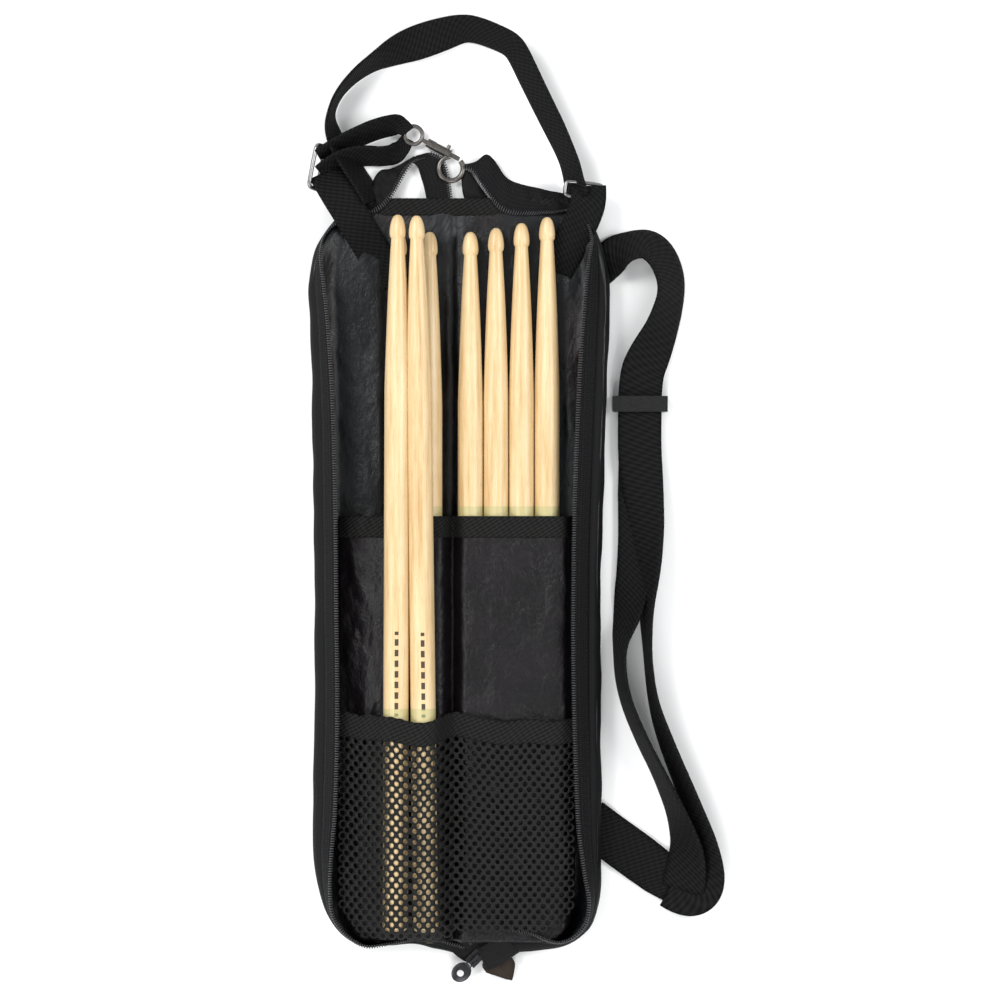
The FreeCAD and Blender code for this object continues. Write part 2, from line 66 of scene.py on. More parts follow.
# How thick each cloth and strap is.
THICK = {"lining": 0.35, "pocket": 0.4, "binding": 0.5, "mesh": 0.36, "gusset": 0.8, "zip_tape": 0.6,
         "flap": 0.7, "hanger": 1.2, "hook_strap": 1.0, "shoulder_strap": 1.4, "shoulder_end": 1.3}


# ---- Camera, floor and light, in metres ----

VIEW_CENTRE = (24.8 * MM, 40.3 * MM)
VIEW_WIDTH = 576 * MM
CAMERA_HEIGHT = 1.9
SENSOR_WIDTH = 36
FLOOR_SIZE, FLOOR_HEIGHT = 8, -0.0004
PAPER_GREY = 0.93
SKY, SKY_STRENGTH = (0.97, 0.985, 1, 1), 0.62
# Each light's name, place, size and power. All of them face one point.
LIGHTS = [("key", (-0.75, 0.75, 1.25), 0.55, 15), ("side", (0.95, 0.25, 0.95), 0.45, 8),
          ("front", (0.1, -1.05, 0.95), 0.6, 8), ("strip", (-0.9, -0.35, 0.8), 0.35, 5)]
LIT_POINT = Vector((0.02, 0.04, 0))


def studio():
    camera_data = bpy.data.cameras.new("camera")
    camera_data.sensor_width = SENSOR_WIDTH
    camera_data.lens = SENSOR_WIDTH * CAMERA_HEIGHT / VIEW_WIDTH
    camera_data.clip_end = 20
    camera = bpy.data.objects.new("camera", camera_data)
    camera.location = (*VIEW_CENTRE, CAMERA_HEIGHT)
    scene.collection.objects.link(camera)
    scene.camera = camera

    bpy.ops.mesh.primitive_plane_add(size=FLOOR_SIZE, location=(0, 0, FLOOR_HEIGHT))
    floor = bpy.context.object
    floor.name = "floor"
    paper = bpy.data.materials.new("floor_paper")
    paper.use_nodes = True
    shader = paper.node_tree.nodes["Principled BSDF"]
    shader.inputs["Base Color"].default_value = (PAPER_GREY, PAPER_GREY, PAPER_GREY, 1)
    shader.inputs["Roughness"].default_value = 0.9
    floor.data.materials.append(paper)

    world = bpy.data.worlds.new("studio")
    scene.world = world
    world.use_nodes = True
    sky = world.node_tree.nodes["Background"]
    sky.inputs["Color"].default_value = SKY
    sky.inputs["Strength"].default_value = SKY_STRENGTH

    for name, place, size, power in LIGHTS:
        light_data = bpy.data.lights.new(name, "AREA")
        light_data.size = size
        light_data.energy = power
        light = bpy.data.objects.new(name, light_data)
        light.location = place
        light.rotation_euler = (LIT_POINT - Vector(place)).to_track_quat("-Z", "Y").to_euler()
        scene.collection.objects.link(light)
    scene.view_settings.view_transform = "Standard"
    scene.view_settings.look = "None"


studio()


# ---- Materials ----


class Nodes:
    """Short ways to add the nodes of one material.

    Cloth and wood read UVs, which are in centimetres. Metal and plastic read positions, in metres.
    """

    def __init__(self, name, rough, metal=0.0):
        self.material = bpy.data.materials.new(name)
        self.material.use_nodes = True
        self.tree = self.material.node_tree
        self.shader = self.tree.nodes["Principled BSDF"]
        self.shader.inputs["Roughness"].default_value = rough
        self.shader.inputs["Metallic"].default_value = metal

    def add(self, kind, inputs, **settings):
        """A new node. inputs gives sockets a value, or another node's output."""
        node = self.tree.nodes.new(kind)
        for key, setting in settings.items():
            setattr(node, key, setting)
        for key, value in inputs.items():
            if isinstance(value, bpy.types.NodeSocket):
                self.tree.links.new(value, node.inputs[key])
            else:
                node.inputs[key].default_value = value
        return node

    def shade(self, socket, source):
        self.tree.links.new(source, self.shader.inputs[socket])

    def math(self, operation, a, b=0.5):
        return self.add("ShaderNodeMath", {0: a, 1: b}, operation=operation).outputs[0]

    def mapped(self, vector, scale, turn=0.0):
        rotation = (0, 0, math.radians(turn))
        inputs = {"Vector": vector, "Scale": scale, "Rotation": rotation}
        return self.add("ShaderNodeMapping", inputs).outputs[0]

    def coords(self, kind):
        return self.add("ShaderNodeTexCoord", {}).outputs[kind]

    def uv(self, scale=(1, 1, 1), turn=0.0):
        return self.mapped(self.coords("UV"), scale, turn)

    def position(self, scale):
        return self.mapped(self.coords("Object"), (scale, scale, scale))

    def wave(self, vector, scale, distortion=0.0):
        inputs = {"Vector": vector, "Scale": scale, "Distortion": distortion, "Detail": 0}
        return self.add("ShaderNodeTexWave", inputs, wave_type="BANDS", bands_direction="X").outputs["Fac"]

    def noise(self, vector, scale, detail, rough=0.5):
        inputs = {"Vector": vector, "Scale": scale, "Detail": detail, "Roughness": rough}
        return self.add("ShaderNodeTexNoise", inputs).outputs["Fac"]

    def ramp(self, value, stops):
        node = self.add("ShaderNodeValToRGB", {"Fac": value})
        elements = node.color_ramp.elements
        while len(elements) < len(stops):
            elements.new(0.5)
        for element, (place, colour) in zip(elements, stops):
            element.position = place
            element.color = (*colour, 1)
        return node.outputs["Color"]

    def mix(self, share, tone, colour):
        inputs = {0: share, 6: tone, 7: (*colour, 1)}
        return self.add("ShaderNodeMix", inputs, data_type="RGBA").outputs[2]

    def roughness(self, value, low, high):
        inputs = {"Value": value, "To Min": low, "To Max": high}
        self.shade("Roughness", self.add("ShaderNodeMapRange", inputs).outputs[0])

    def bump(self, height, strength, distance, under=None):
        inputs = {"Height": height, "Strength": strength, "Distance": distance}
        if under:
            inputs["Normal"] = under
        normal = self.add("ShaderNodeBump", inputs).outputs[0]
        self.shade("Normal", normal)
        return normal


# A Wave texture's bands are 2 pi / (20 * scale) apart in its vector's units.
WAVE_BANDS = 2 * math.pi / 20


def bands(millimetres):
    """Wave scale that gives bands this far apart, on UVs in centimetres."""
    return WAVE_BANDS / (millimetres / 10)


def twill(name, dark, light, pitch, turn, rough=0.72, strength=0.7):
    """Ribbed tape and webbing: slanting ribs, broken along their length."""
    n = Nodes(name, rough)
    ribs = n.wave(n.uv(turn=turn), bands(pitch), 0.6)
    cross = n.wave(n.uv(turn=turn + 90), bands(pitch * 1.7), 0.8)
    fuzz = n.noise(n.uv(), 6, 4, 0.6)
    height = n.math("ADD", n.math("MULTIPLY", ribs, 0.8), n.math("MULTIPLY", cross, 0.35))
    worn = n.math("ADD", n.math("MULTIPLY", height, 0.55), n.math("MULTIPLY", fuzz, 0.6))
    n.shade("Base Color", n.ramp(worn, [(0.25, dark), (0.62, light), (0.95, tuple(1.7 * c for c in light))]))
    n.roughness(fuzz, rough - 0.1, rough + 0.15)
    n.bump(height, strength, 0.0004)
    n.shader.inputs["Specular IOR Level"].default_value = 0.1
    return n.material


def plain_weave(name, dark, light, pitch, rough, specular, crease=0.0, tint=None):
    """Plain woven nylon. Its creases are finer than those in the mesh."""
    n = Nodes(name, rough)
    weave = n.math("MULTIPLY", n.wave(n.uv(), bands(pitch)), n.wave(n.uv(turn=90), bands(pitch)))
    blotch = n.noise(n.uv(), 0.35, 4, 0.55)
    shade = n.math("ADD", n.math("MULTIPLY", weave, 0.35), n.math("MULTIPLY", blotch, 0.8))
    tone = n.ramp(shade, [(0.3, dark), (0.85, light)])
    if tint:
        patch = n.ramp(n.noise(n.uv((1, 0.6, 1)), 0.22, 2, 0.4), [(0.56, (0, 0, 0)), (0.72, (1, 1, 1))])
        tone = n.mix(patch, tone, tint)
    n.shade("Base Color", tone)
    n.roughness(blotch, rough - 0.08, rough + 0.14)
    folds = None
    if crease:
        folds = n.bump(n.noise(n.uv((1, 0.7, 1), 20), 0.9, 5, 0.62), crease, 0.004)
    n.bump(weave, 0.25, 0.0002, folds)
    n.shader.inputs["Specular IOR Level"].default_value = specular
    return n.material


def metal(name, colour, rough):
    n = Nodes(name, rough, 1.0)
    grime = n.noise(n.position(900), 1, 4, 0.6)
    n.shade("Base Color", n.ramp(grime, [(0.3, tuple(0.62 * c for c in colour)), (0.7, colour)]))
    n.roughness(grime, rough - 0.08, rough + 0.2)
    n.bump(n.noise(n.position(2600), 1, 3), 0.1, 0.0002)
    return n.material


def moulded(name, dark, light, rough):
    n = Nodes(name, rough)
    grain = n.noise(n.position(1200), 1, 3, 0.5)
    n.shade("Base Color", n.ramp(grain, [(0.35, dark), (0.7, light)]))
    n.roughness(grain, rough - 0.08, rough + 0.15)
    n.bump(grain, 0.15, 0.0002)
    n.shader.inputs["Specular IOR Level"].default_value = 0.3
    return n.material


# The plain mark that stands for the print on a front stick: a row of short dashes along it.
# Lengths on a stick are in centimetres, as its UVs are: u round the stick and v from its butt.
MARK_LOW, MARK_HIGH = 12.2, 17.0
MARK_HALF = 0.11
MARK_U = 2.22
DASH_PITCH, DASH_SHARE = 0.6, 0.62
INK = (0.02, 0.012, 0.01)
# A painted shadow of the pocket's edge: olive shade painted on the wood from just below a pocket's mouth to
# just above it.
PAINTED_MOUTH_SHADOW = (0.30, 0.34, 0.14)
SHADE_BELOW, SHADE_ABOVE = -0.4, 0.62
# Pale wood's tones, from its dark grain to its light ground, and the colour of its pores.
WOOD = [(0.34, (0.46, 0.28, 0.115)), (0.48, (0.61, 0.435, 0.22)), (0.66, (0.71, 0.555, 0.33))]
PORES = (0.36, 0.2, 0.08)


def between(n, value, low, high):
    return n.math("MULTIPLY", n.math("GREATER_THAN", value, low), n.math("LESS_THAN", value, high))


def hickory(name, seed, marked, mouth):
    """Pale wood with its grain along the stick, and a painted shadow at its pocket's mouth. mouth is how far
    up the stick its pocket's mouth is.
    """
    n = Nodes(name, 0.42)
    shift = n.add("ShaderNodeVectorMath", {0: n.uv(), 1: (seed * 3.7, seed * 11.3, 0)}, operation="ADD")
    grain, broad, fine = (
        n.noise(n.mapped(shift.outputs[0], stretch), scale, detail, rough)
        for stretch, scale, detail, rough in (
            ((3.2, 0.16, 1), 1.3, 5, 0.62), ((0.9, 0.05, 1), 1.1, 3, 0.5), ((26, 0.9, 1), 1.0, 2, 0.6)))
    tone = n.ramp(n.math("ADD", n.math("MULTIPLY", grain, 0.62), n.math("MULTIPLY", broad, 0.42)), WOOD)
    tone = n.mix(n.ramp(fine, [(0.56, (0, 0, 0)), (0.74, (0.55, 0.55, 0.55))]), tone, PORES)
    u, v = n.add("ShaderNodeSeparateXYZ", {0: n.coords("UV")}).outputs[:2]
    if marked:
        dash = n.math("LESS_THAN", n.math("FRACT", n.math("DIVIDE", v, DASH_PITCH)), DASH_SHARE)
        line = n.math("MULTIPLY", between(n, v, MARK_LOW, MARK_HIGH),
                      between(n, u, MARK_U - MARK_HALF, MARK_U + MARK_HALF))
        tone = n.mix(n.math("MULTIPLY", n.math("MULTIPLY", line, dash), 0.95), tone, INK)
    # Painted shadow: the wood is darkened and tinted olive in a band round the pocket's mouth.
    shade = between(n, v, mouth + SHADE_BELOW, mouth + SHADE_ABOVE)
    tone = n.mix(n.math("MULTIPLY", shade, 0.5), tone, PAINTED_MOUTH_SHADOW)
    n.shade("Base Color", tone)
    n.roughness(grain, 0.34, 0.5)
    n.bump(fine, 0.12, 0.0002)
    n.shader.inputs["Coat Weight"].default_value = 0.18
    n.shader.inputs["Coat Roughness"].default_value = 0.3
    return n.material


MATERIALS = {
    "outer": plain_weave("outer_nylon_cloth", (0.0016, 0.0016, 0.002), (0.005, 0.005, 0.0058), 0.9, 0.62,
                         0.16),
    "lining": plain_weave("lining_cloth", (0.0012, 0.0018, 0.0026), (0.0042, 0.006, 0.0078), 0.5, 0.27,
                          0.34, 0.3, (0.0075, 0.0032, 0.0028)),
    "pocket": plain_weave("pocket_cloth", (0.0022, 0.0016, 0.0022), (0.0072, 0.0052, 0.0066), 0.5, 0.3,
                          0.26, 0.55),
    "binding": twill("binding_tape", (0.002, 0.002, 0.002), (0.0095, 0.0095, 0.0092), 1.9, 58),
    "zip_tape": twill("zip_tape", (0.002, 0.002, 0.0022), (0.0075, 0.0075, 0.008), 1.1, 90),
    "webbing": twill("webbing", (0.001, 0.001, 0.001), (0.0055, 0.0055, 0.0055), 2.1, 52, 0.75, 0.8),
    "mesh": moulded("mesh_yarn", (0.0009, 0.0012, 0.0008), (0.0036, 0.0042, 0.003), 0.66),
    "coil": moulded("coil_nylon", (0.03, 0.03, 0.032), (0.075, 0.075, 0.08), 0.3),
    "thread": moulded("thread", (0.004, 0.004, 0.004), (0.016, 0.016, 0.016), 0.6),
    "steel": metal("plated_steel", (0.30, 0.30, 0.295), 0.26),
    "hook": metal("hook_steel", (0.17, 0.158, 0.148), 0.27),
    "gunmetal": metal("gunmetal", (0.055, 0.055, 0.06), 0.32),
    "plastic": moulded("strap_slider_plastic", (0.003, 0.003, 0.003), (0.009, 0.009, 0.009), 0.36),
    "tab": plain_weave("end_tab_cloth", (0.012, 0.0065, 0.004), (0.034, 0.02, 0.012), 0.7, 0.55, 0.2),
}


# ---- Mesh helpers ----


def add_piece(name, verts, faces, uvs, material):
    """A new object from verts in millimetres. uvs are one pair for each vert, in centimetres."""
    mesh = bpy.data.meshes.new(name)
    mesh.from_pydata((np.asarray(verts) * MM).tolist(), [], faces)
    layer = mesh.uv_layers.new(name="UVMap")
    loops = np.empty(len(mesh.loops), int)
    mesh.loops.foreach_get("vertex_index", loops)
    layer.data.foreach_set("uv", np.asarray(uvs, np.float32)[loops].ravel())
    mesh.polygons.foreach_set("use_smooth", [True] * len(mesh.polygons))
    mesh.materials.append(material)
    mesh.update()
    piece = bpy.data.objects.new(name, mesh)
    scene.collection.objects.link(piece)
    return piece


def unit(vectors):
    return vectors / np.linalg.norm(vectors, axis=1, keepdims=True)


def arc_length(line):
    """How far along a line of points each point is."""
    return np.concatenate([[0], np.cumsum(np.linalg.norm(np.diff(line, axis=0), axis=1))])


def at_lengths(line, arc, spots):
    """The points at these distances along a line. arc is the distance of each point it has."""
    return np.stack([np.interp(spots, arc, line[:, k]) for k in range(line.shape[1])], 1)


def surface(name, grid, thick, material):
    """A closed sheet of cloth round a grid of points, of shape rows x columns x 3."""
    grid = np.asarray(grid, float)
    rows, cols = grid.shape[:2]
    down = np.gradient(grid, axis=0)
    across = np.gradient(grid, axis=1)
    normal = np.cross(across, down)
    normal /= np.maximum(np.linalg.norm(normal, axis=2, keepdims=True), 1e-9)
    top = (grid + normal * thick / 2).reshape(-1, 3)
    bottom = (grid - normal * thick / 2).reshape(-1, 3)
    count = rows * cols
    lengths = np.meshgrid(arc_length(grid.mean(0)), arc_length(grid.mean(1)))
    uv = np.stack(lengths, axis=-1).reshape(-1, 2) / 10
    index = np.arange(count).reshape(rows, cols)
    quads = np.stack([index[:-1, :-1], index[:-1, 1:], index[1:, 1:], index[1:, :-1]], -1).reshape(-1, 4)
    rim = np.concatenate([index[0, :], index[1:, -1], index[-1, -2::-1], index[-2:0:-1, 0]])
    after = np.roll(rim, -1)
    walls = np.stack([rim, rim + count, after + count, after], -1)
    faces = np.concatenate([quads, quads[:, ::-1] + count, walls]).tolist()
    return add_piece(name, np.concatenate([top, bottom]), faces, np.concatenate([uv, uv]), material)


def smooth_line(points, count):
    """A Catmull-Rom line through a few points, with its samples evenly spaced."""
    points = np.asarray(points, float)
    knots = np.concatenate([[0], np.cumsum(np.linalg.norm(np.diff(points[:, :3], axis=0), axis=1) ** 0.5)])
    slope = np.gradient(points, knots, axis=0)
    fine = np.linspace(0, knots[-1], count * 4)
    i = np.clip(np.searchsorted(knots, fine, side="right") - 1, 0, len(points) - 2)
    h = (knots[i + 1] - knots[i])[:, None]
    s = (fine[:, None] - knots[i][:, None]) / h
    line = ((2 * s**3 - 3 * s**2 + 1) * points[i] + (s**3 - 2 * s**2 + s) * h * slope[i]
            + (3 * s**2 - 2 * s**3) * points[i + 1] + (s**3 - s**2) * h * slope[i + 1])
    arc = arc_length(line[:, :3])
    return at_lengths(line, arc, np.linspace(0, arc[-1], count))


def smoothstep(value, low, high):
    t = np.clip((value - low) / (high - low), 0, 1)
    return t * t * (3 - 2 * t)


def noise_at(x, y, seed):
    return noise.noise(Vector((x, y, seed)))


def noise_field(xs, ys, scale_x, scale_y, seed):
    """Smooth noise from about -1 to 1 over two arrays of the same shape."""
    flat = [noise_at(a / scale_x, b / scale_y, seed) for a, b in zip(np.ravel(xs), np.ravel(ys))]
    return np.array(flat).reshape(np.shape(xs)) * 1.6


def creases(xs, ys, seed, size):
    """Sharp-ridged creases of soft nylon, from about -0.5 to 1."""
    bend_x = xs + 14 * noise_field(xs, ys, 60, 70, seed)
    bend_y = ys + 14 * noise_field(xs, ys, 55, 60, seed + 3.1)
    slant_x, slant_y = bend_x + 0.5 * bend_y, bend_y - 0.4 * bend_x
    long = 1 - 2.4 * np.abs(noise_field(slant_x, slant_y, size, size * 1.5, seed + 5))
    short = 1 - 2.4 * np.abs(noise_field(bend_x, bend_y, size * 0.4, size * 0.55, seed + 9))
    return (np.clip(long, -0.3, 1) + 0.35 * np.clip(short, -0.3, 1)) / 1.35


def tube_faces(base, rings, sides, capped=True):
    """Faces of a tube. Its first ring starts at vert number base."""
    faces = []
    for low in range(base, base + sides * (rings - 1), sides):
        for k in range(sides):
            j = (k + 1) % sides
            faces.append((low + k, low + j, low + sides + j, low + sides + k))
    if capped:
        last = base + sides * (rings - 1)
        faces.append(tuple(range(base, base + sides))[::-1])
        faces.append(tuple(range(last, last + sides)))
    return faces


def thicken(piece, thick):
    """Gives an open sheet its thickness, as part of the mesh."""
    solid = piece.modifiers.new("thick", "SOLIDIFY")
    solid.thickness = thick * MM
    solid.offset = 0
    bpy.context.view_layer.update()
    final = bpy.data.meshes.new_from_object(piece.evaluated_get(bpy.context.evaluated_depsgraph_get()))
    piece.modifiers.clear()
    old = piece.data
    piece.data = final
    bpy.data.meshes.remove(old)


def on_body(piece, body, nodes=()):
    """A piece that moves with one body. nodes are the CAD nodes that it stands for."""
    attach(piece, body)
    if nodes:
        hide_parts(*nodes)


def across_spine(piece, nodes):
    """A piece of cloth that crosses the spine: its place is baked into its mesh, and the CAD nodes it stands
    for are hidden.
    """
    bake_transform(piece)
    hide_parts(*nodes)


# ---- Outline of the open bag ----
# Each stop of a wall: where it bulges out furthest, and where the coil runs, with the coil's height.

LEFT_WALL = [
    (-2, -220, 3.5, -216.2, 5.5), (-13, -217, -13.5, -210.6, 13), (-23, -214.6, -24.6, -209.9, 21),
    (-38, -214, -37.6, -211.6, 27.5), (-52.8, -215, -51.5, -212.8, 29.5), (-61.2, -211.8, -59.6, -208.6, 30),
    (-68.6, -205.4, -66, -202.4, 30), (-75, -195, -70.2, -194.4, 30), (-79, -181, -71.4, -179, 30),
    (-81.8, -163, -70.6, -161, 30), (-82.2, -145, -68.9, -142, 30), (-81.5, -110, -67.6, -110, 30),
    (-80.8, -75, -67.2, -75, 30), (-81.2, -17, -67.8, -17, 30), (-81.8, 40, -68.4, 40, 30),
    (-82.6, 98, -70, 98, 30), (-84, 146, -73.2, 146, 29), (-84.6, 164, -75.2, 163, 27),
    (-81.6, 182, -77.2, 180, 22), (-76, 193.5, -76, 189.6, 17), (-69.6, 201.4, -71, 197, 13),
    (-61, 207.5, -62, 202.6, 10),
]
RIGHT_WALL = [
    (10, -220.5, 8, -214.4, 6), (17, -219.2, 13.5, -209.7, 12.5), (26, -218.8, 21, -206.2, 17.5),
    (38, -218.3, 32, -204.7, 21), (50.6, -217.3, 43, -206.4, 23.5), (58.6, -215.8, 51, -209.6, 25),
    (66, -212.8, 58.6, -211, 26), (72, -208.6, 66.4, -208, 27), (77.2, -202.6, 73, -200.6, 28.5),
    (81.2, -190, 75, -188.6, 30), (82.4, -170, 72.6, -172, 30), (82.6, -146, 69.2, -146, 30),
    (82.4, -106, 67.4, -106, 30), (82.4, -46, 66.2, -46, 30), (82.6, 5, 66.4, 5, 30),
    (83.6, 40, 67.1, 40, 30), (85.6, 98, 69.2, 98, 30), (86.8, 132, 71, 132, 29.5),
    (87.4, 158, 73, 158, 28), (85.6, 178, 75, 175, 23), (80.6, 192.6, 77, 188.6, 18),
    (75.6, 202.4, 74.6, 199.4, 14), (68, 208, 68.4, 205.2, 10.5),
]
WALL_SAMPLES = 420
WALL_TOP = 30.0
# The first stops of each wall run along the bag's bottom.
BOTTOM_STOPS = 4


def side_edges(ys):
    """How far out the bag reaches on the left and on the right, at each y."""
    reach = []
    for wall in (LEFT_WALL, RIGHT_WALL):
        corner = wall[-1][0] * 0.86, TOP_EDGE, 0
        line = smooth_line([(x, y, 0) for x, y, *_ in wall[BOTTOM_STOPS:]] + [corner], 300)
        order = np.argsort(line[:, 1])
        reach.append(np.interp(ys, line[order, 1], line[order, 0]))
    return reach


def panel_grid(inset, low, high, step_x, step_y):
    """The xs and ys of a grid that fills the outline, this far inside it."""
    ys = np.linspace(low, high, int((high - low) / step_y) + 1)
    share = np.linspace(0, 1, int(2 * HALF_WIDTH / step_x) + 1)
    left, right = side_edges(ys)
    xs = (left + inset)[:, None] + (right - left - 2 * inset)[:, None] * share[None, :]
    return xs, np.repeat(ys[:, None], len(share), 1)


# ---- Back panel and lining ----


# The padded panel's rounded edge: its width, its underside and top there, and how far it swells.
PANEL_EDGE, PANEL_UNDER, PANEL_OVER, SWELL_DOWN, SWELL_UP = 9, 2.6, 3.6, 2.3, 1.5


def back_panel():
    """Outer cloth and foam behind the lining, one padded sheet across the spine."""
    xs, ys = panel_grid(1.2, -213.0, TOP_EDGE - 0.5, 2.6, 3.2)
    left, right = side_edges(ys)
    edge = np.minimum(np.minimum(xs - left, right - xs), np.minimum(ys + 214.5, TOP_EDGE + 1 - ys))
    crown = smoothstep(edge, 0, PANEL_EDGE)
    seam = np.exp(-((xs / 2.2) ** 2))
    ripple = 0.12 * noise_field(xs, ys, 14, 18, 4.4)
    under = PANEL_UNDER - SWELL_DOWN * crown + 0.9 * seam + ripple * crown
    over = PANEL_OVER + SWELL_UP * crown - 0.8 * seam
    panel = surface("padded_back_panel", np.stack([xs, ys, (under + over) / 2], -1), 0.1, MATERIALS["outer"])
    count = xs.size
    heights = np.empty(len(panel.data.vertices) * 3)
    panel.data.vertices.foreach_get("co", heights)
    heights = heights.reshape(-1, 3)
    heights[:count, 2] = over.ravel() * MM
    heights[count:, 2] = under.ravel() * MM
    panel.data.vertices.foreach_set("co", heights.ravel())
    panel.data.update()
    across_spine(panel, ["left_shell_panel", "right_shell_panel", "left_foam_pad",
                                        "right_foam_pad", "spine_strip"])


STICKS = [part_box(f"drumstick_{i}") for i in range(1, 9)]
FRONT_STICKS = 2
FIRST_RIGHT_STICK = 5


def under_sticks(xs):
    """1 where a stick lies close over the lining, 0 well away from every stick."""
    cover = np.zeros_like(xs)
    for low, high in STICKS[FRONT_STICKS:]:
        centre = (low.x + high.x) / 2 / MM
        cover = np.maximum(cover, 1 - smoothstep(np.abs(xs - centre), 7.5, 11))
    return cover


def lining():
    xs, ys = panel_grid(2.0, -212.5, TOP_EDGE - 1.5, 1.5, 1.7)
    left, right = side_edges(ys)
    edge = np.minimum(xs - left, right - xs)
    lift = 9 * (1 - smoothstep(edge, 2, 15)) * (1 - smoothstep(ys, 170, 205))
    folds = creases(xs, ys * 0.55, 2.7, 34.0)
    puff = noise_field(xs, ys, 42, 60, 8.2)
    free = (1 - under_sticks(xs)) * (1 - smoothstep(ys, 192, 204))
    seam = np.exp(-((xs / 1.6) ** 2))
    height = LINING_TOP + 0.25 + lift + (0.12 + 1.5 * free) * (0.45 + 0.75 * folds) + 1.2 * free * puff
    height = np.maximum(height - 1.4 * seam, LINING_TOP - 0.6)
    height = np.where(under_sticks(xs) > 0.5, np.minimum(height, LINING_TOP + 0.75), height)
    piece = surface("lining", np.stack([xs, ys, height], -1), THICK["lining"], MATERIALS["lining"])
    across_spine(piece, ["left_lining", "right_lining"])


back_panel()
lining()


# ---- Pockets ----


def tent(xs, stops):
    """Cloth stretched between heights: straight runs, softened a little."""
    places, heights = zip(*stops)
    run = np.interp(xs, places, heights)
    near = sum(np.interp(xs + d, places, heights) for d in (-2.0, -1.0, 1.0, 2.0))
    return (run + near) / 5


# Stops across a pocket: x and the cloth's height there.
UPPER_STOPS = [
    (-68, 9), (-63, 13), (-52, 17.4), (-42, 21.2), (-8, 21.4), (-5, 15), (-2.4, 9.2), (-1.2, 10.6),
    (0.2, 15.5), (1.4, 18.8), (3.4, 21), (9.4, 21.6), (16.2, 21), (24, 21.6), (31, 21), (38.6, 21.6),
    (45.6, 21), (55, 21.6), (62.4, 21), (65.6, 14), (68, 9)]


def upper_height(xs, ys):
    rise = tent(xs, UPPER_STOPS)
    free = smoothstep(np.abs(xs + 15), 26, 34) * (xs < 0) + smoothstep(xs, 58, 64)
    folds = 1.5 * creases(xs * 1.6, ys * 0.45, 6.3, 26) + 0.8 * noise_field(xs, ys, 9, 90, 1.9)
    soft = 0.8 * noise_field(xs, ys, 21, 30, 4.7) + 0.3 * noise_field(xs + 0.5 * ys, ys, 9, 26, 2.2)
    gape = 3.4 * np.exp(-(((xs + 55) / 9) ** 2)) * smoothstep(ys, 8, UPPER_MOUTH)
    return np.minimum(rise + free * folds + gape, UPPER_TOP + 0.3) + 0.12 * folds + np.maximum(soft, -0.2)


def sewn_bottom(xs, rise):
    """Where the pockets are sewn down: rise above their CAD bottom, and round at the corners."""
    return POCKET_BOTTOM + rise + 0.052 * np.maximum(np.abs(xs) - 50, 0) ** 2


def upper_pocket():
    xs, share = np.meshgrid(np.linspace(-67.5, 67.5, 136), np.linspace(0, 1, 150))
    foot = sewn_bottom(xs, 1.5)
    ys = foot + (UPPER_MOUTH - 0.8 - foot) * share
    grid = np.stack([xs, ys, upper_height(xs, ys)], -1)
    piece = surface("upper_pocket_cloth", grid, THICK["pocket"], MATERIALS["pocket"])
    across_spine(piece, ["left_upper_pocket", "right_upper_pocket"])


def edge_tape(name, xs, mouth, width, height, nodes, lip=0.45):
    """Twill tape folded over a pocket's mouth, front and back, with a rounded lip."""
    grid = []
    for share in np.linspace(0, 1, 9):
        ys = mouth - width * (1 - share)
        grid.append(np.stack([xs, ys, height(xs, ys) + lip + 0.25 * math.sin(math.pi * share)], -1))
    for drop in (0.5, 1.3):
        grid.append(np.stack([xs, mouth + 0.55 - 0.3 * drop, height(xs, mouth) + lip - drop * 0.8], -1))
    across_spine(surface(name, grid, THICK["binding"], MATERIALS["binding"]), nodes)


def mouth_line(xs):
    """The mesh pocket's mouth sags between the stitches."""
    return (MESH_MOUTH + 1.2 - 3.4 * smoothstep(-xs, 40, 20) * smoothstep(-xs, 2, 20)
            - 2.6 * np.exp(-(((xs - 26) / 14) ** 2)) - 2.4 * np.exp(-(((xs - 55) / 10) ** 2))
            + 1.6 * np.exp(-((xs / 7) ** 2)) - 1.0 * smoothstep(xs, 20, 30) + 1.8 * smoothstep(-xs, 54, 64))


MESH_FOOT = 15
MESH_STOPS = [
    (-68, 22), (-64, 23), (-43, 35.6), (-40, 37.7), (-34, 38.0), (-27, 37.2), (-19.4, 38.0), (-13.4, 37.7),
    (-10.4, 35.4), (-3, 24), (0, 22.6), (4, 23.6), (16, 25.2), (30, 24.2), (44, 25.8), (58, 25.0), (64, 23.4),
    (68, 22)]


def mesh_height(xs, ys):
    settle = smoothstep(ys, POCKET_BOTTOM - 4, POCKET_BOTTOM + 12)
    rise = tent(xs, MESH_STOPS)
    free = smoothstep(np.abs(xs + 27), 16, 26)
    wave = 0.9 * noise_field(xs, ys, 17, 34, 5.5) + 0.5 * noise_field(xs, ys, 7, 12, 7.5)
    return MESH_FOOT + (rise - MESH_FOOT) * (0.55 + 0.45 * settle) + free * wave


MESH_PITCH_X, MESH_PITCH_Y = 2.6, 3.2
MESH_REACH = 67
HOLE_SIDES, HOLE_HALF_X, HOLE_HALF_Y = 8, 1.36, 1.5
# The corners of one cell of cloth, in half pitches from the hole's middle.
CELL = [(1, 0.5), (0.5, 1.5), (-0.5, 1.5), (-1, 0.5), (-1, -0.5), (-0.5, -1.5), (0.5, -1.5), (1, -0.5)]


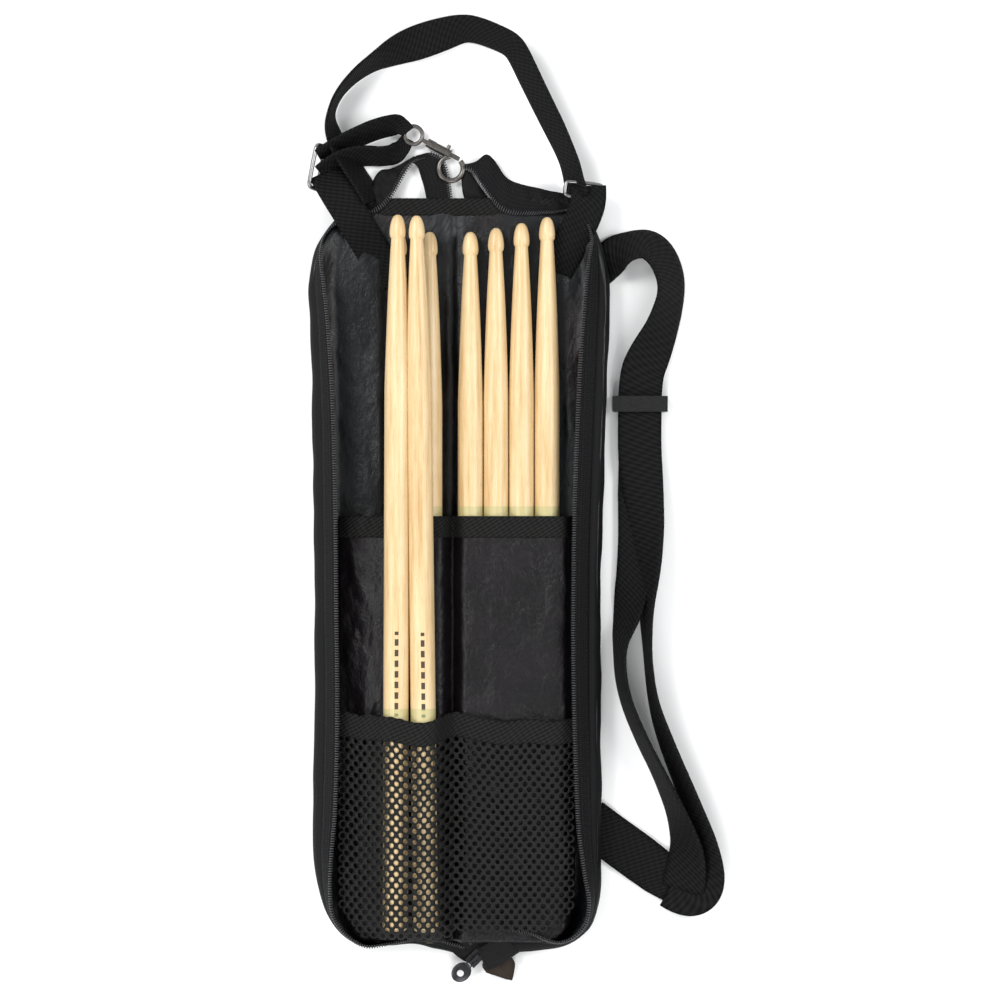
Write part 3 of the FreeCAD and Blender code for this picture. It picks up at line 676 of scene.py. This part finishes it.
def mesh_cloth():
    """Knitted mesh with real holes: a ring of cloth round each oval hole, in staggered rows."""
    half_x, half_y = MESH_PITCH_X, MESH_PITCH_Y / 2
    turns = [2 * math.pi * (k + 0.5) / HOLE_SIDES for k in range(HOLE_SIDES)]
    verts, faces = [], []
    spots = {}

    def spot(x, y):
        key = (round(x * 50), round(y * 50))
        if key not in spots:
            spots[key] = len(verts)
            verts.append((x, y))
        return spots[key]

    columns = int(MESH_REACH / MESH_PITCH_X)
    rows = int((MESH_MOUTH - POCKET_BOTTOM + 3) / MESH_PITCH_Y)
    for column in range(-columns, columns + 1):
        for row in range(rows):
            if (column + row) % 2:
                continue
            cx = column * MESH_PITCH_X
            cy = POCKET_BOTTOM - 0.6 + (row + 0.5) * MESH_PITCH_Y
            if cy < sewn_bottom(cx, 6.5 if cx < 0 else 9.5):
                continue
            ring = [spot(cx + half_x * a, cy + half_y * b) for a, b in CELL]
            hole = range(len(verts), len(verts) + HOLE_SIDES)
            size = 1 + 0.16 * noise_at(cx / 9, cy / 11, 3.3)
            verts += [(cx + HOLE_HALF_X * size * math.cos(turn), cy + HOLE_HALF_Y * size * math.sin(turn))
                      for turn in turns]
            for k in range(HOLE_SIDES):
                j = (k + 1) % HOLE_SIDES
                faces.append((ring[k], ring[j], hole[j], hole[k]))
    flat = np.array(verts)
    tall = mouth_line(flat[:, 0]) - 8 - POCKET_BOTTOM
    stretch = POCKET_BOTTOM + (flat[:, 1] - POCKET_BOTTOM) * tall / (MESH_MOUTH - 7 - POCKET_BOTTOM)
    xs = flat[:, 0] + 0.35 * noise_field(flat[:, 0], stretch, 8, 9, 12.1)
    grid = np.stack([xs, stretch, mesh_height(xs, stretch)], 1)
    piece = add_piece("mesh_pocket_cloth", grid, faces, flat / 10, MATERIALS["mesh"])
    thicken(piece, THICK["mesh"])
    across_spine(piece, ["left_mesh_pocket", "right_mesh_pocket"])


upper_pocket()
mesh_cloth()
TAPE_XS = np.linspace(-67.6, 67.6, 170)
edge_tape("upper_pocket_binding", TAPE_XS, np.full_like(TAPE_XS, UPPER_MOUTH), 11.6,
          lambda x, y: upper_height(x, y) + 0.15, ["left_upper_binding", "right_upper_binding"],
          0.3)
edge_tape("mesh_pocket_binding", TAPE_XS, mouth_line(TAPE_XS), 13.0, mesh_height,
          ["left_mesh_binding", "right_mesh_binding"])
TOP_XS = np.linspace(-55, 66, 130)
edge_tape("top_edge_binding", TOP_XS, np.full_like(TOP_XS, TOP_EDGE), 9.4,
          lambda x, y: LINING_TOP + 0.05 + 0.1 * np.sin(x / 6.0),
          ["left_top_binding", "right_top_binding"], 0.25)


# ---- Gusset, zip tape and coil ----

# Lines round the wall's outside, from under the panel: how far in from the bulge, and how high.
WALL_LINES = (7, 0.15), (1.6, 0.9), (0.2, 3.4), (0, 8.5), (0.5, 14)
SEAM_HEIGHT, SEAM_SHARE = 20.5, 0.45


def wall_lines(wall, inward):
    """Lines up one half's gusset, then the seam that joins it to the zip tape, then the coil's line."""
    stops = smooth_line(wall, WALL_SAMPLES)
    outer, rim = stops[:, :2], stops[:, 2:]
    along = unit(np.gradient(outer, axis=0))
    into = np.stack([-along[:, 1], along[:, 0]], 1) * inward
    grow = rim[:, 2] / WALL_TOP
    seam_xy = outer + (rim[:, :2] - outer) * SEAM_SHARE
    ripple = np.array([noise_at(i / 17, 0.3, inward * 2.0) for i in range(len(outer))])[:, None]
    lines = []
    for inset, height in WALL_LINES:
        spot = outer + into * (inset - 0.9 * ripple * (height > 3))
        lines.append(np.column_stack([spot, np.minimum(height, height * grow + 0.4)]))
    lines.append(np.column_stack([seam_xy - 0.5 * into * ripple, SEAM_HEIGHT * grow]))
    return lines, np.column_stack([seam_xy, SEAM_HEIGHT * grow]), rim


COIL_PITCH = 1.42
# A tooth is a bent bar: its section, and its path as steps outwards and upwards.
TOOTH_SECTION = [(-0.36, 0), (0, 0.36), (0.36, 0), (0, -0.36)]
TOOTH_PATH = [(-1.7, 0.1), (-1.1, 0.75), (0.3, 0.85), (1.15, 0.35), (1.15, -0.35), (0.3, -0.7)]


def coil(name, line, out, body, nodes=()):
    """The zip's nylon coil: one bent tooth after another along the tape's edge."""
    arc = arc_length(line)
    spots = np.arange(0, arc[-1], COIL_PITCH)
    centre = at_lengths(line, arc, spots)
    reach = unit(at_lengths(out, arc, spots))
    along = unit(np.gradient(centre, axis=0))
    up = np.cross(along, reach)
    up *= np.sign(up[:, 2:3] + 1e-9)
    verts, faces, uvs = [], [], []
    for i in range(len(spots)):
        faces += tube_faces(len(verts), len(TOOTH_PATH), len(TOOTH_SECTION))
        for r, h in TOOTH_PATH:
            for a, b in TOOTH_SECTION:
                verts.append(centre[i] + reach[i] * (r + 0.35 * b) + up[i] * (h + b) + along[i] * a)
                uvs.append((spots[i] / 10, r / 10))
    on_body(add_piece(name, verts, faces, uvs, MATERIALS["coil"]), body, nodes)


def lines_surface(name, lines, thick, material):
    """A closed sheet whose long lines lie side by side."""
    return surface(name, np.swapaxes(np.asarray(lines), 0, 1), thick, material)


def spread(a, b, count, crown):
    """Lines between two lines, bowed upwards in the middle."""
    out = []
    for share in np.linspace(0, 1, count):
        line = a + (b - a) * share
        line[:, 2] += crown * math.sin(math.pi * share)
        out.append(line)
    return out


STITCH_PITCH, STITCH_LENGTH, THREAD = 2.6, 1.7, 0.3
# Along a stitch: the share of its length, and how far the thread rises there.
STITCH_HUMP = [(0, -0.05), (0.3, 0.22), (0.7, 0.22), (1, -0.05)]
THREAD_SECTION = [(-1, 0), (0, 1), (1, 0), (0, -1)]


def stitches(name, line, body):
    """A row of sewn thread along a line, each stitch a little hump."""
    arc = arc_length(line)
    shares, lifts = np.transpose(STITCH_HUMP)
    verts, faces, uvs = [], [], []
    for start in np.arange(STITCH_PITCH / 2, arc[-1] - STITCH_LENGTH, STITCH_PITCH):
        points = at_lengths(line, arc, start + STITCH_LENGTH * shares)
        along = (points[-1] - points[0]) / np.linalg.norm(points[-1] - points[0])
        side = np.cross([0, 0, 1], along)
        side /= max(np.linalg.norm(side), 1e-6)
        up = np.cross(along, side)
        faces += tube_faces(len(verts), len(points), len(THREAD_SECTION))
        for point, lift in zip(points, lifts):
            for a, b in THREAD_SECTION:
                verts.append(point + side * a * THREAD / 2 + up * (b * THREAD / 2 + lift))
                uvs.append((start / 10, 0))
    on_body(add_piece(name, verts, faces, uvs, MATERIALS["thread"]), body)


def half_wall(half, wall, inward):
    """One half's gusset, zip tape, coil and the two rows of stitches along the tape."""
    body = f"{half}_half"
    lines, seam, rim = wall_lines(wall, inward)
    gusset = lines_surface(f"{half}_gusset_cloth", lines, THICK["gusset"], MATERIALS["outer"])
    on_body(gusset, body, [f"{half}_gusset"])
    lifted = seam + np.array([0, 0, 0.5])
    tape = lines_surface(f"{half}_zip_tape_cloth", spread(lifted, rim, 7, 0.5), THICK["zip_tape"],
                         MATERIALS["zip_tape"])
    on_body(tape, body, [f"{half}_zip_tape"])
    coil(f"{half}_zip_teeth", rim, rim - seam, body, [f"{half}_zip_coil"])
    for name, share in (("outer", 0.12), ("inner", 0.62)):
        row = lifted + (rim - lifted) * share
        row[:, 2] += 0.5 + 0.5 * math.sin(math.pi * share)
        stitches(f"{half}_zip_stitches_{name}", row, body)


half_wall("left", LEFT_WALL, -1)
half_wall("right", RIGHT_WALL, 1)


# ---- Zip ends folded out over the top edge ----


def flap(name, low_line, high_line, body, material, crumple, seed, count=60):
    """Crumpled cloth between two lines, kept just above the floor."""
    lines = np.array(spread(smooth_line(low_line, count), smooth_line(high_line, count), 12, 0.6))
    lines[..., 2] += crumple * noise_field(lines[..., 0], lines[..., 1], 5, 6, seed)
    lines[..., 2] = np.maximum(lines[..., 2], 0.6)
    on_body(lines_surface(name, lines, THICK["flap"], MATERIALS[material]), body)


LEFT_COIL_END = [(-62, 202.6, 10), (-56, 203.6, 8.4), (-50, 204.9, 7.4), (-43.6, 208.5, 7),
                 (-38.7, 213.6, 6.4), (-34, 221.4, 5.6), (-29.4, 229.6, 5.4), (-24.4, 234.8, 5.4),
                 (-18.4, 237, 5.2)]
LEFT_FLAP_EDGE = [(-61, 207.5, 5), (-57, 210.6, 4.2), (-52, 215, 3.6), (-49, 218.6, 3.4), (-47.4, 225.4, 3.4),
                  (-43.6, 229.8, 3.6), (-38.4, 230.6, 3.6), (-32, 233.4, 4), (-24.6, 237.6, 4.4)]
LEFT_BAND_IN = [(-25.4, 234.4, 4.6), (-22.6, 231.6, 4), (-20.8, 226.6, 3), (-18.8, 220, 2.6),
                (-17.4, 212.4, 5)]
LEFT_BAND_OUT = [(-23.4, 238, 4.6), (-15, 239.8, 4), (-9, 236.4, 3), (-6, 229, 2.6), (-3.4, 212.4, 5)]
RIGHT_COIL_END = [(68.4, 205.2, 10.5), (63, 206.4, 8.2), (56, 205.4, 7.2), (45, 204.8, 7), (32, 205, 7),
                  (25, 208, 6.8), (19, 214.6, 6), (13.2, 223, 5), (8.6, 229.6, 4.6), (3.8, 231.2, 4.4)]
RIGHT_FLAP_EDGE = [(68, 208, 6.5), (74, 213, 5.5), (62.4, 216.2, 4.4), (53, 218, 4), (44.8, 220, 4),
                   (36, 222, 4), (28.4, 225.6, 4.2), (21.6, 235.4, 4.4), (17, 238.8, 4.6),
                   (10.6, 234.6, 4.4), (3, 232.6, 4)]
RIGHT_INNER_OUT = [(17.6, 214.4, 3), (12.4, 221.6, 2.6), (8, 228.4, 2.6), (4.4, 230.4, 2.8)]
RIGHT_INNER_IN = [(4.6, 212.6, 3), (3.4, 217, 2.4), (2.8, 223, 2.2), (2.6, 229.6, 2.4)]


def top_flaps():
    flap("left_top_flap", LEFT_FLAP_EDGE, LEFT_COIL_END, "left_half", "outer", 1.1, 3.9)
    flap("left_free_tape", LEFT_BAND_IN, LEFT_BAND_OUT, "left_half", "zip_tape", 0.5, 7.7)
    flap("right_top_flap", RIGHT_FLAP_EDGE, RIGHT_COIL_END, "right_half", "zip_tape",
         0.7, 5.1, 90)
    flap("right_flap_inside", RIGHT_INNER_IN, RIGHT_INNER_OUT, "right_half", "outer",
         0.5, 9.3)
    for half, run, edge in (("left", LEFT_COIL_END, LEFT_FLAP_EDGE),
                            ("right", RIGHT_COIL_END, RIGHT_FLAP_EDGE)):
        line, back = smooth_line(run, 120), smooth_line(edge, 120)
        line[:, 2] += 0.5
        reach = line - back
        reach[:, 2] *= 0.3
        coil(f"{half}_top_teeth", line, reach, f"{half}_half")
        row = back + (line - back) * 0.3
        row[:, 2] += 1.0
        stitches(f"{half}_top_stitches", row, f"{half}_half")
    band, inner = smooth_line(LEFT_BAND_OUT[1:], 60), smooth_line(LEFT_BAND_IN[1:], 60)
    coil("left_free_teeth", band, band - inner, "left_half")


top_flaps()


# ---- Drumsticks ----

TIP_LENGTH, TAPER_LENGTH, NECK_RADIUS, TIP_RADIUS = 14.0, 86.0, 3.7, 4.6
BUTT_ROUND = 3.0
STICK_SIDES = 40


def stick_profile(length, radius):
    """Pairs of distance from the butt and radius: rounded butt, long taper, acorn tip."""
    line = [(0.0, 0.0), (0.05, radius - BUTT_ROUND)]
    for turn in np.linspace(0, math.pi / 2, 7):
        line.append((BUTT_ROUND * (1 - math.cos(turn)), radius - BUTT_ROUND * (1 - math.sin(turn))))
    shoulder = length - TAPER_LENGTH - TIP_LENGTH
    line += [(y, radius) for y in np.linspace(12, shoulder, 24)]
    for share in np.linspace(0.04, 1, 26):
        ease = share ** 1.25 * (1 - 0.12 * math.sin(math.pi * share))
        line.append((shoulder + TAPER_LENGTH * share, radius + (NECK_RADIUS - radius) * ease))
    base = length - TIP_LENGTH
    line += [(base + 0.5, NECK_RADIUS - 0.05), (base + 1.0, NECK_RADIUS + 0.35),
             (base + 1.9, TIP_RADIUS - 0.18)]
    for turn in np.linspace(0.06, math.pi / 2, 14):
        swell = math.cos(turn) ** 0.78
        line.append((base + 3.0 + (TIP_LENGTH - 3.0) * math.sin(turn), TIP_RADIUS * swell))
    line[-1] = (length, 0.0)
    return line


# How far the front sticks lean to the left and upwards, for every 100 mm of their length, and how
# far to the left of the CAD's place the right half's sticks stand.
LEANS = {1: (-0.35, 0.0), 2: (1.3, 0.55)}
LEAN_ABOUT = -35.0
RIGHT_ROW_SHIFT = 1.5


def drumstick(number):
    low, high = ([c / MM for c in corner] for corner in STICKS[number - 1])
    length, radius = high[1] - low[1], (high[0] - low[0]) / 2
    cx, cz = (low[0] + high[0]) / 2, (low[2] + high[2]) / 2
    if number >= FIRST_RIGHT_STICK:
        cx -= RIGHT_ROW_SHIFT
    slope, rise = LEANS.get(number, (0.0, 0.0))
    verts, uvs, faces = [], [], []
    profile = stick_profile(length, radius)
    for y, r in profile:
        swing = (low[1] + y - LEAN_ABOUT) / 100
        for k in range(STICK_SIDES + 1):
            turn = 2 * math.pi * k / STICK_SIDES
            verts.append((cx - slope * swing + r * math.sin(turn), low[1] + y,
                          cz + rise * swing - r * math.cos(turn)))
            uvs.append((turn * radius / 10, y / 10))
    span = STICK_SIDES + 1
    for a in range(0, span * (len(profile) - 1), span):
        faces += [(a + k, a + k + 1, a + k + span + 1, a + k + span) for k in range(STICK_SIDES)]
    in_front = number <= FRONT_STICKS
    mouth = MESH_MOUTH if in_front else UPPER_MOUTH
    material = hickory(f"hickory_{number}", number, in_front, (mouth - low[1]) / 10)
    piece = add_piece(f"turned_drumstick_{number}", verts, faces, uvs, material)
    weld = piece.modifiers.new("weld", "WELD")
    weld.merge_threshold = 0.005 * MM
    on_body(piece, f"stick_{number}", [f"drumstick_{number}"])


for number in range(1, len(STICKS) + 1):
    drumstick(number)


# ---- Webbing ----

ROUTE_SAMPLES = 10
STRAP_LINES = 9
ROLL_BLUR = 7


def nurbs_line(name, route):
    """Points of a smooth NURBS line whose control points are the route's, in millimetres."""
    curve = bpy.data.curves.new(name, "CURVE")
    curve.dimensions = "3D"
    spline = curve.splines.new("NURBS")
    spline.points.add(len(route) - 1)
    for point, stop in zip(spline.points, route):
        point.co = (stop[0] * MM, stop[1] * MM, stop[2] * MM, 1)
    spline.order_u = 3
    spline.use_endpoint_u = True
    spline.resolution_u = ROUTE_SAMPLES
    holder = bpy.data.objects.new(name, curve)
    mesh = bpy.data.meshes.new_from_object(holder)
    points = np.array([v.co for v in mesh.vertices]) / MM
    bpy.data.objects.remove(holder)
    bpy.data.curves.remove(curve)
    bpy.data.meshes.remove(mesh)
    return points


def webbing(name, route, width, thick, body, nodes=()):
    """A flat strap along a route of (x, y, z, roll, width); the last may be left out."""
    line = nurbs_line(name, route)
    share = np.linspace(0, len(route) - 1, len(line))
    stops = range(len(route))
    rolls = np.radians(np.interp(share, stops, [stop[3] for stop in route]))
    kernel = np.ones(ROLL_BLUR) / ROLL_BLUR
    rolls = np.convolve(np.pad(rolls, ROLL_BLUR // 2, mode="edge"), kernel, mode="valid")
    widths = np.interp(share, stops, [stop[4] if len(stop) > 4 else width for stop in route])
    along = unit(np.gradient(line, axis=0))
    flat = unit(np.cross([0, 0, 1], along))
    up = np.cross(along, flat)
    side = flat * np.cos(rolls)[:, None] + up * np.sin(rolls)[:, None]
    lines = [line + side * (widths[:, None] / 2 * t) for t in np.linspace(-1, 1, STRAP_LINES)]
    piece = lines_surface(name, lines, thick, MATERIALS["webbing"])
    on_body(piece, body, nodes)
    return piece, line


def free_cord(name, route, width, thick, node):
    """A strap that hangs free between its ends, on the right half."""
    piece, line = webbing(name, route, width, thick, "right_half", [node])


HANGER, SHOULDER_WIDTH = 20.0, 25.0

HANGING = [
    (70, 212, 15, -58), (67.4, 221, 13, -60), (65, 233, 12, -62), (58.6, 248, 11.4, -57),
    (48.6, 268, 11.4, -56), (40.4, 285, 11, -55), (35, 296.4, 10.8, -55), (31, 301.4, 10.6, -55),
    (24, 305, 10, -54), (13, 309.4, 9.8, -52), (4, 311, 9.4, -48), (-8, 307.6, 8, -30),
    (-21, 303.6, 5.6, -14), (-35, 298.4, 8, -42), (-49, 290.6, 10.6, -70), (-60.6, 281.4, 11.4, -79),
    (-69.4, 270.4, 11.6, -84), (-73, 258, 11.4, -84), (-69.6, 246.4, 9.6, -66), (-61.4, 233.4, 9.2, -58),
    (-52.4, 219.6, 9.2, -58), (-48, 212, 9.2, -58)]
LEFT_ANCHOR = [(-36.6, 163.4, 6.6, 0), (-42.5, 173.6, 6.9, 0), (-49, 184.8, 7.8, 0), (-56.5, 197, 10.5, 0),
               (-64, 209.4, 14.8, 0), (-70, 219, 15.6, 8), (-76, 227.6, 13.4, 30)]
RIGHT_ANCHOR = [(57.4, 171, 6.9, 0, 18), (61.6, 180.6, 7.2, 0), (66.8, 190.6, 10, 0), (72, 200.6, 15.6, 0),
                (75, 208.6, 18.4, 0), (75.6, 216, 18.4, 2), (75.4, 219.4, 16.6, 2)]
TOP_HOOK = [(-78, 235, 13.4, 60), (-69.6, 241.2, 13, 62), (-59, 247, 12, 63), (-50, 251.2, 11, 62),
            (-42, 254, 10, 60, 19), (-34.4, 255.6, 8, 50, 16), (-29.8, 254, 6, 14, 10),
            (-28, 251.6, 5.8, 0, 8)]
LOW_HOOK = [(-77, 226, 12.6, 58), (-70, 232.8, 12.4, 62), (-61, 236.6, 11.4, 62), (-52, 237.6, 10.4, 62),
            (-43, 237, 10, 62, 19), (-35.4, 238.6, 8.4, 54, 16), (-30.6, 243.4, 4.8, 14, 10),
            (-28.6, 248, 2.8, 0, 8)]
SHOULDER = [
    (79, 170, 1.6, 0, 20), (86, 177, 4, -20, 22), (93.4, 183.4, 8.6, -48), (102, 187, 10.6, -48),
    (111, 187, 10.8, -44), (119.4, 178, 11, -48), (124, 162, 11, -53), (119, 142, 9.4, -42),
    (110.8, 124, 6.4, -16), (105.6, 112, 5, 0), (105, 86, 5, 0), (105, 66, 5.4, 4), (106.6, 46, 7, 22),
    (108.4, 24, 8.6, 36), (108.7, 0, 10.6, 52), (108.4, -26, 12.6, 76), (109.4, -52, 13, 84),
    (112.4, -76, 13, 82), (120.4, -100, 12.8, 74), (132, -128, 12.6, 70), (140.8, -151, 12.2, 66),
    (143.6, -170, 10.6, 52), (140.6, -184, 7.4, 26), (132, -187.6, 4.4, 6), (123, -182, 3.4, 0)]
RETURN = [
    (105, 86, 2.2, 0, 23), (104.4, 54, 2.2, 0, 23), (103.6, 28, 2.6, 4, 21), (102.6, 2, 4.6, 20, 21),
    (98.6, -24, 9.6, 56, 24), (92.6, -44, 12.2, 78), (94.8, -70, 12.6, 78), (105.4, -96, 12.6, 76),
    (117.8, -120, 12.6, 75), (129, -146, 12, 68), (133.4, -167, 9.6, 50), (129.6, -184, 4.6, 10)]
LOWER_TAB = [(76, -144, 0.9, 0, 26), (90, -155, 0.9, 0, 27), (104, -165, 1.1, 0, 27),
             (118, -175.6, 1.5, 0, 26), (129, -184, 1.8, 0, 22), (134, -188, 1.9, 0, 14)]


def straps():
    free_cord("hanging_strap_webbing", HANGING, HANGER, THICK["hanger"], "hanging_strap")
    for half, route in (("left", LEFT_ANCHOR), ("right", RIGHT_ANCHOR)):
        webbing(f"{half}_anchor_webbing", route, HANGER, THICK["hanger"], f"{half}_half",
                [f"{half}_anchor_strap"])
    webbing("hook_strap_top_webbing", TOP_HOOK, HANGER, THICK["hook_strap"], "left_half", ["hook_strap"])
    webbing("hook_strap_low_webbing", LOW_HOOK, HANGER, THICK["hook_strap"], "left_half")
    free_cord("shoulder_strap_webbing", SHOULDER, SHOULDER_WIDTH, THICK["shoulder_strap"],
              "shoulder_strap")
    free_cord("shoulder_return_webbing", RETURN, SHOULDER_WIDTH, THICK["shoulder_end"],
              "shoulder_strap_return")
    webbing("shoulder_tab_webbing", LOWER_TAB, SHOULDER_WIDTH, THICK["shoulder_end"], "right_half",
            ["shoulder_lower_tab"])


straps()


# ---- Hardware ----


def dress(node, material):
    """A CAD node whose shape is right keeps it, and takes a finished material."""
    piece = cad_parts[node]
    piece.data.materials.clear()
    piece.data.materials.append(MATERIALS[material])


WIRE_SIDES = 12


def wire(name, stops, radius, body, nodes=(), closed=True, count=120):
    """Round steel wire bent along a line of points."""
    stops = np.asarray(stops, float)
    if closed:
        stops = np.vstack([stops, stops[:1]])
        line = smooth_line(np.vstack([stops[-2:-1], stops, stops[1:2]]), count * 2)
        low = np.argmin(np.linalg.norm(line[:count] - stops[0], axis=1))
        high = count + np.argmin(np.linalg.norm(line[count:] - stops[0], axis=1))
        line = line[low:high + 1]
        line[-1] = line[0]
    else:
        line = smooth_line(stops, count)
    along = np.gradient(line, axis=0)
    if closed:
        along[0] = along[-1] = line[1] - line[-2]
    along = unit(along)
    normal = np.linalg.svd(line - line.mean(0))[2][2]
    side = unit(np.cross(along, normal))
    other = np.cross(side, along)
    verts, uvs = [], []
    for i in range(len(line)):
        for k in range(WIRE_SIDES):
            turn = 2 * math.pi * k / WIRE_SIDES
            verts.append(line[i] + radius * (math.cos(turn) * side[i] + math.sin(turn) * other[i]))
            uvs.append((turn, i / 10))
    faces = tube_faces(0, len(line), WIRE_SIDES, capped=not closed)
    piece = add_piece(name, verts, faces, uvs, MATERIALS["steel"])
    if closed:
        weld = piece.modifiers.new("weld", "WELD")
        weld.merge_threshold = 0.01 * MM
    on_body(piece, body, nodes)


# Each strap fitting's middle, and the directions of its long and short sides.
SLIDER_PLACE = (-77.6, 230.2, 12.0), (0.19, 0.98, 0), (-0.5, 0.1, 0.86)
SLIDER_BAR = np.array([(-12, 0), (-4, 0.2), (4, 0.2), (12, 0)])
RING_PLACE = (72.7, 217.2, 15.2), (1, -0.12, 0), (0.12, 1, 0)


def rounded_loop(half_long, half_wide, corner):
    """A rectangle with round corners, as points round it."""
    out = []
    for turn, cx, cy in ((0, 1, 1), (90, -1, 1), (180, -1, -1), (270, 1, -1)):
        for step in (0, 30, 60, 90):
            a = math.radians(turn + step)
            out.append((cx * (half_long - corner) + corner * math.cos(a),
                        cy * (half_wide - corner) + corner * math.sin(a)))
    return np.array(out)


def placed(flat, centre, x_dir, y_dir):
    """Flat points laid in the plane of two directions."""
    x_dir, y_dir = (np.array(d, float) / np.linalg.norm(d) for d in (x_dir, y_dir))
    return np.array(centre, float) + flat[:, :1] * x_dir + flat[:, 1:2] * y_dir


def strap_hardware():
    frame_loop = placed(rounded_loop(12.2, 8.8, 2.6), *SLIDER_PLACE)
    wire("left_strap_slider_wire", frame_loop, 1.25, "left_half", ["left_strap_slider"])
    wire("left_strap_slider_bar", placed(SLIDER_BAR, *SLIDER_PLACE), 1.2, "left_half", closed=False, count=20)
    ring_loop = placed(rounded_loop(10.6, 4.1, 2.4), *RING_PLACE)
    wire("right_ring_wire", ring_loop, 1.15, "right_half", ["right_ring"])


FLAP_CORNERS = [(12, -216.4, 11.5), (26, -208.6, 17), (36.6, -217.6, 10), (17.6, -230, 5.6)]
BASE_CORNERS = [(-7, -214.6, 5.6), (6, -212.6, 6.6), (16, -214.4, 6.4), (13.6, -222, 2.4),
                (4.6, -225.4, 2.4), (-2.4, -219.6, 3)]
TAB_CORNERS = [(14.6, -226.4, 3.4), (30.6, -220.8, 3.6), (33.6, -226.6, 3.2), (31.6, -236, 2.6),
               (15.4, -230.4, 2.8)]
PATCH_POINTS, PATCH_RINGS = 81, 14
CORNER_ROUNDING = 0.25


def patch(name, corners, thick, material, slot, nodes, puff, seed):
    """Cloth that fills a ring of corners, softly rounded, with its edges a little wavy."""
    loop = np.vstack([corners, corners[:1]])
    round_ring = smooth_line(loop, PATCH_POINTS)
    sharp_ring = at_lengths(loop, range(len(loop)), np.linspace(0, len(corners), PATCH_POINTS))
    ring = CORNER_ROUNDING * round_ring + (1 - CORNER_ROUNDING) * sharp_ring
    middle = ring[:-1].mean(0)
    grid = []
    for share in np.linspace(0.02, 1, PATCH_RINGS):
        line = middle + (ring - middle) * share
        line[:, 2] += puff * (1 - share ** 2) + 0.35 * noise_field(line[:, 0], line[:, 1], 5, 5, seed)
        grid.append(line)
    on_body(surface(name, grid, thick, MATERIALS[material]), "right_half", nodes)
    edge = grid[-2]
    edge[:, 2] += thick / 2 + 0.05
    stitches(name + "_stitches", edge[::2], "right_half")


strap_hardware()
patch("zip_tail_flap", FLAP_CORNERS, 0.9, "outer", "zip_tape", ["zip_tail"], 1.4, 2.4)
patch("zip_tail_base", BASE_CORNERS, 0.8, "outer", "zip_tape", (), 0.3, 8.4)
patch("zip_end_tab_cloth", TAB_CORNERS, 1.2, "tab", "end_tab", ["zip_end_tab"], 0.5, 6.1)

for node, material in (
        ("snap_hook_eye", "hook"), ("snap_hook_body", "hook"), ("snap_hook_bolt", "hook"),
        ("zip_slider", "gunmetal"), ("zip_pull", "gunmetal"), ("shoulder_strap_slider", "plastic")):
    dress(node, material)
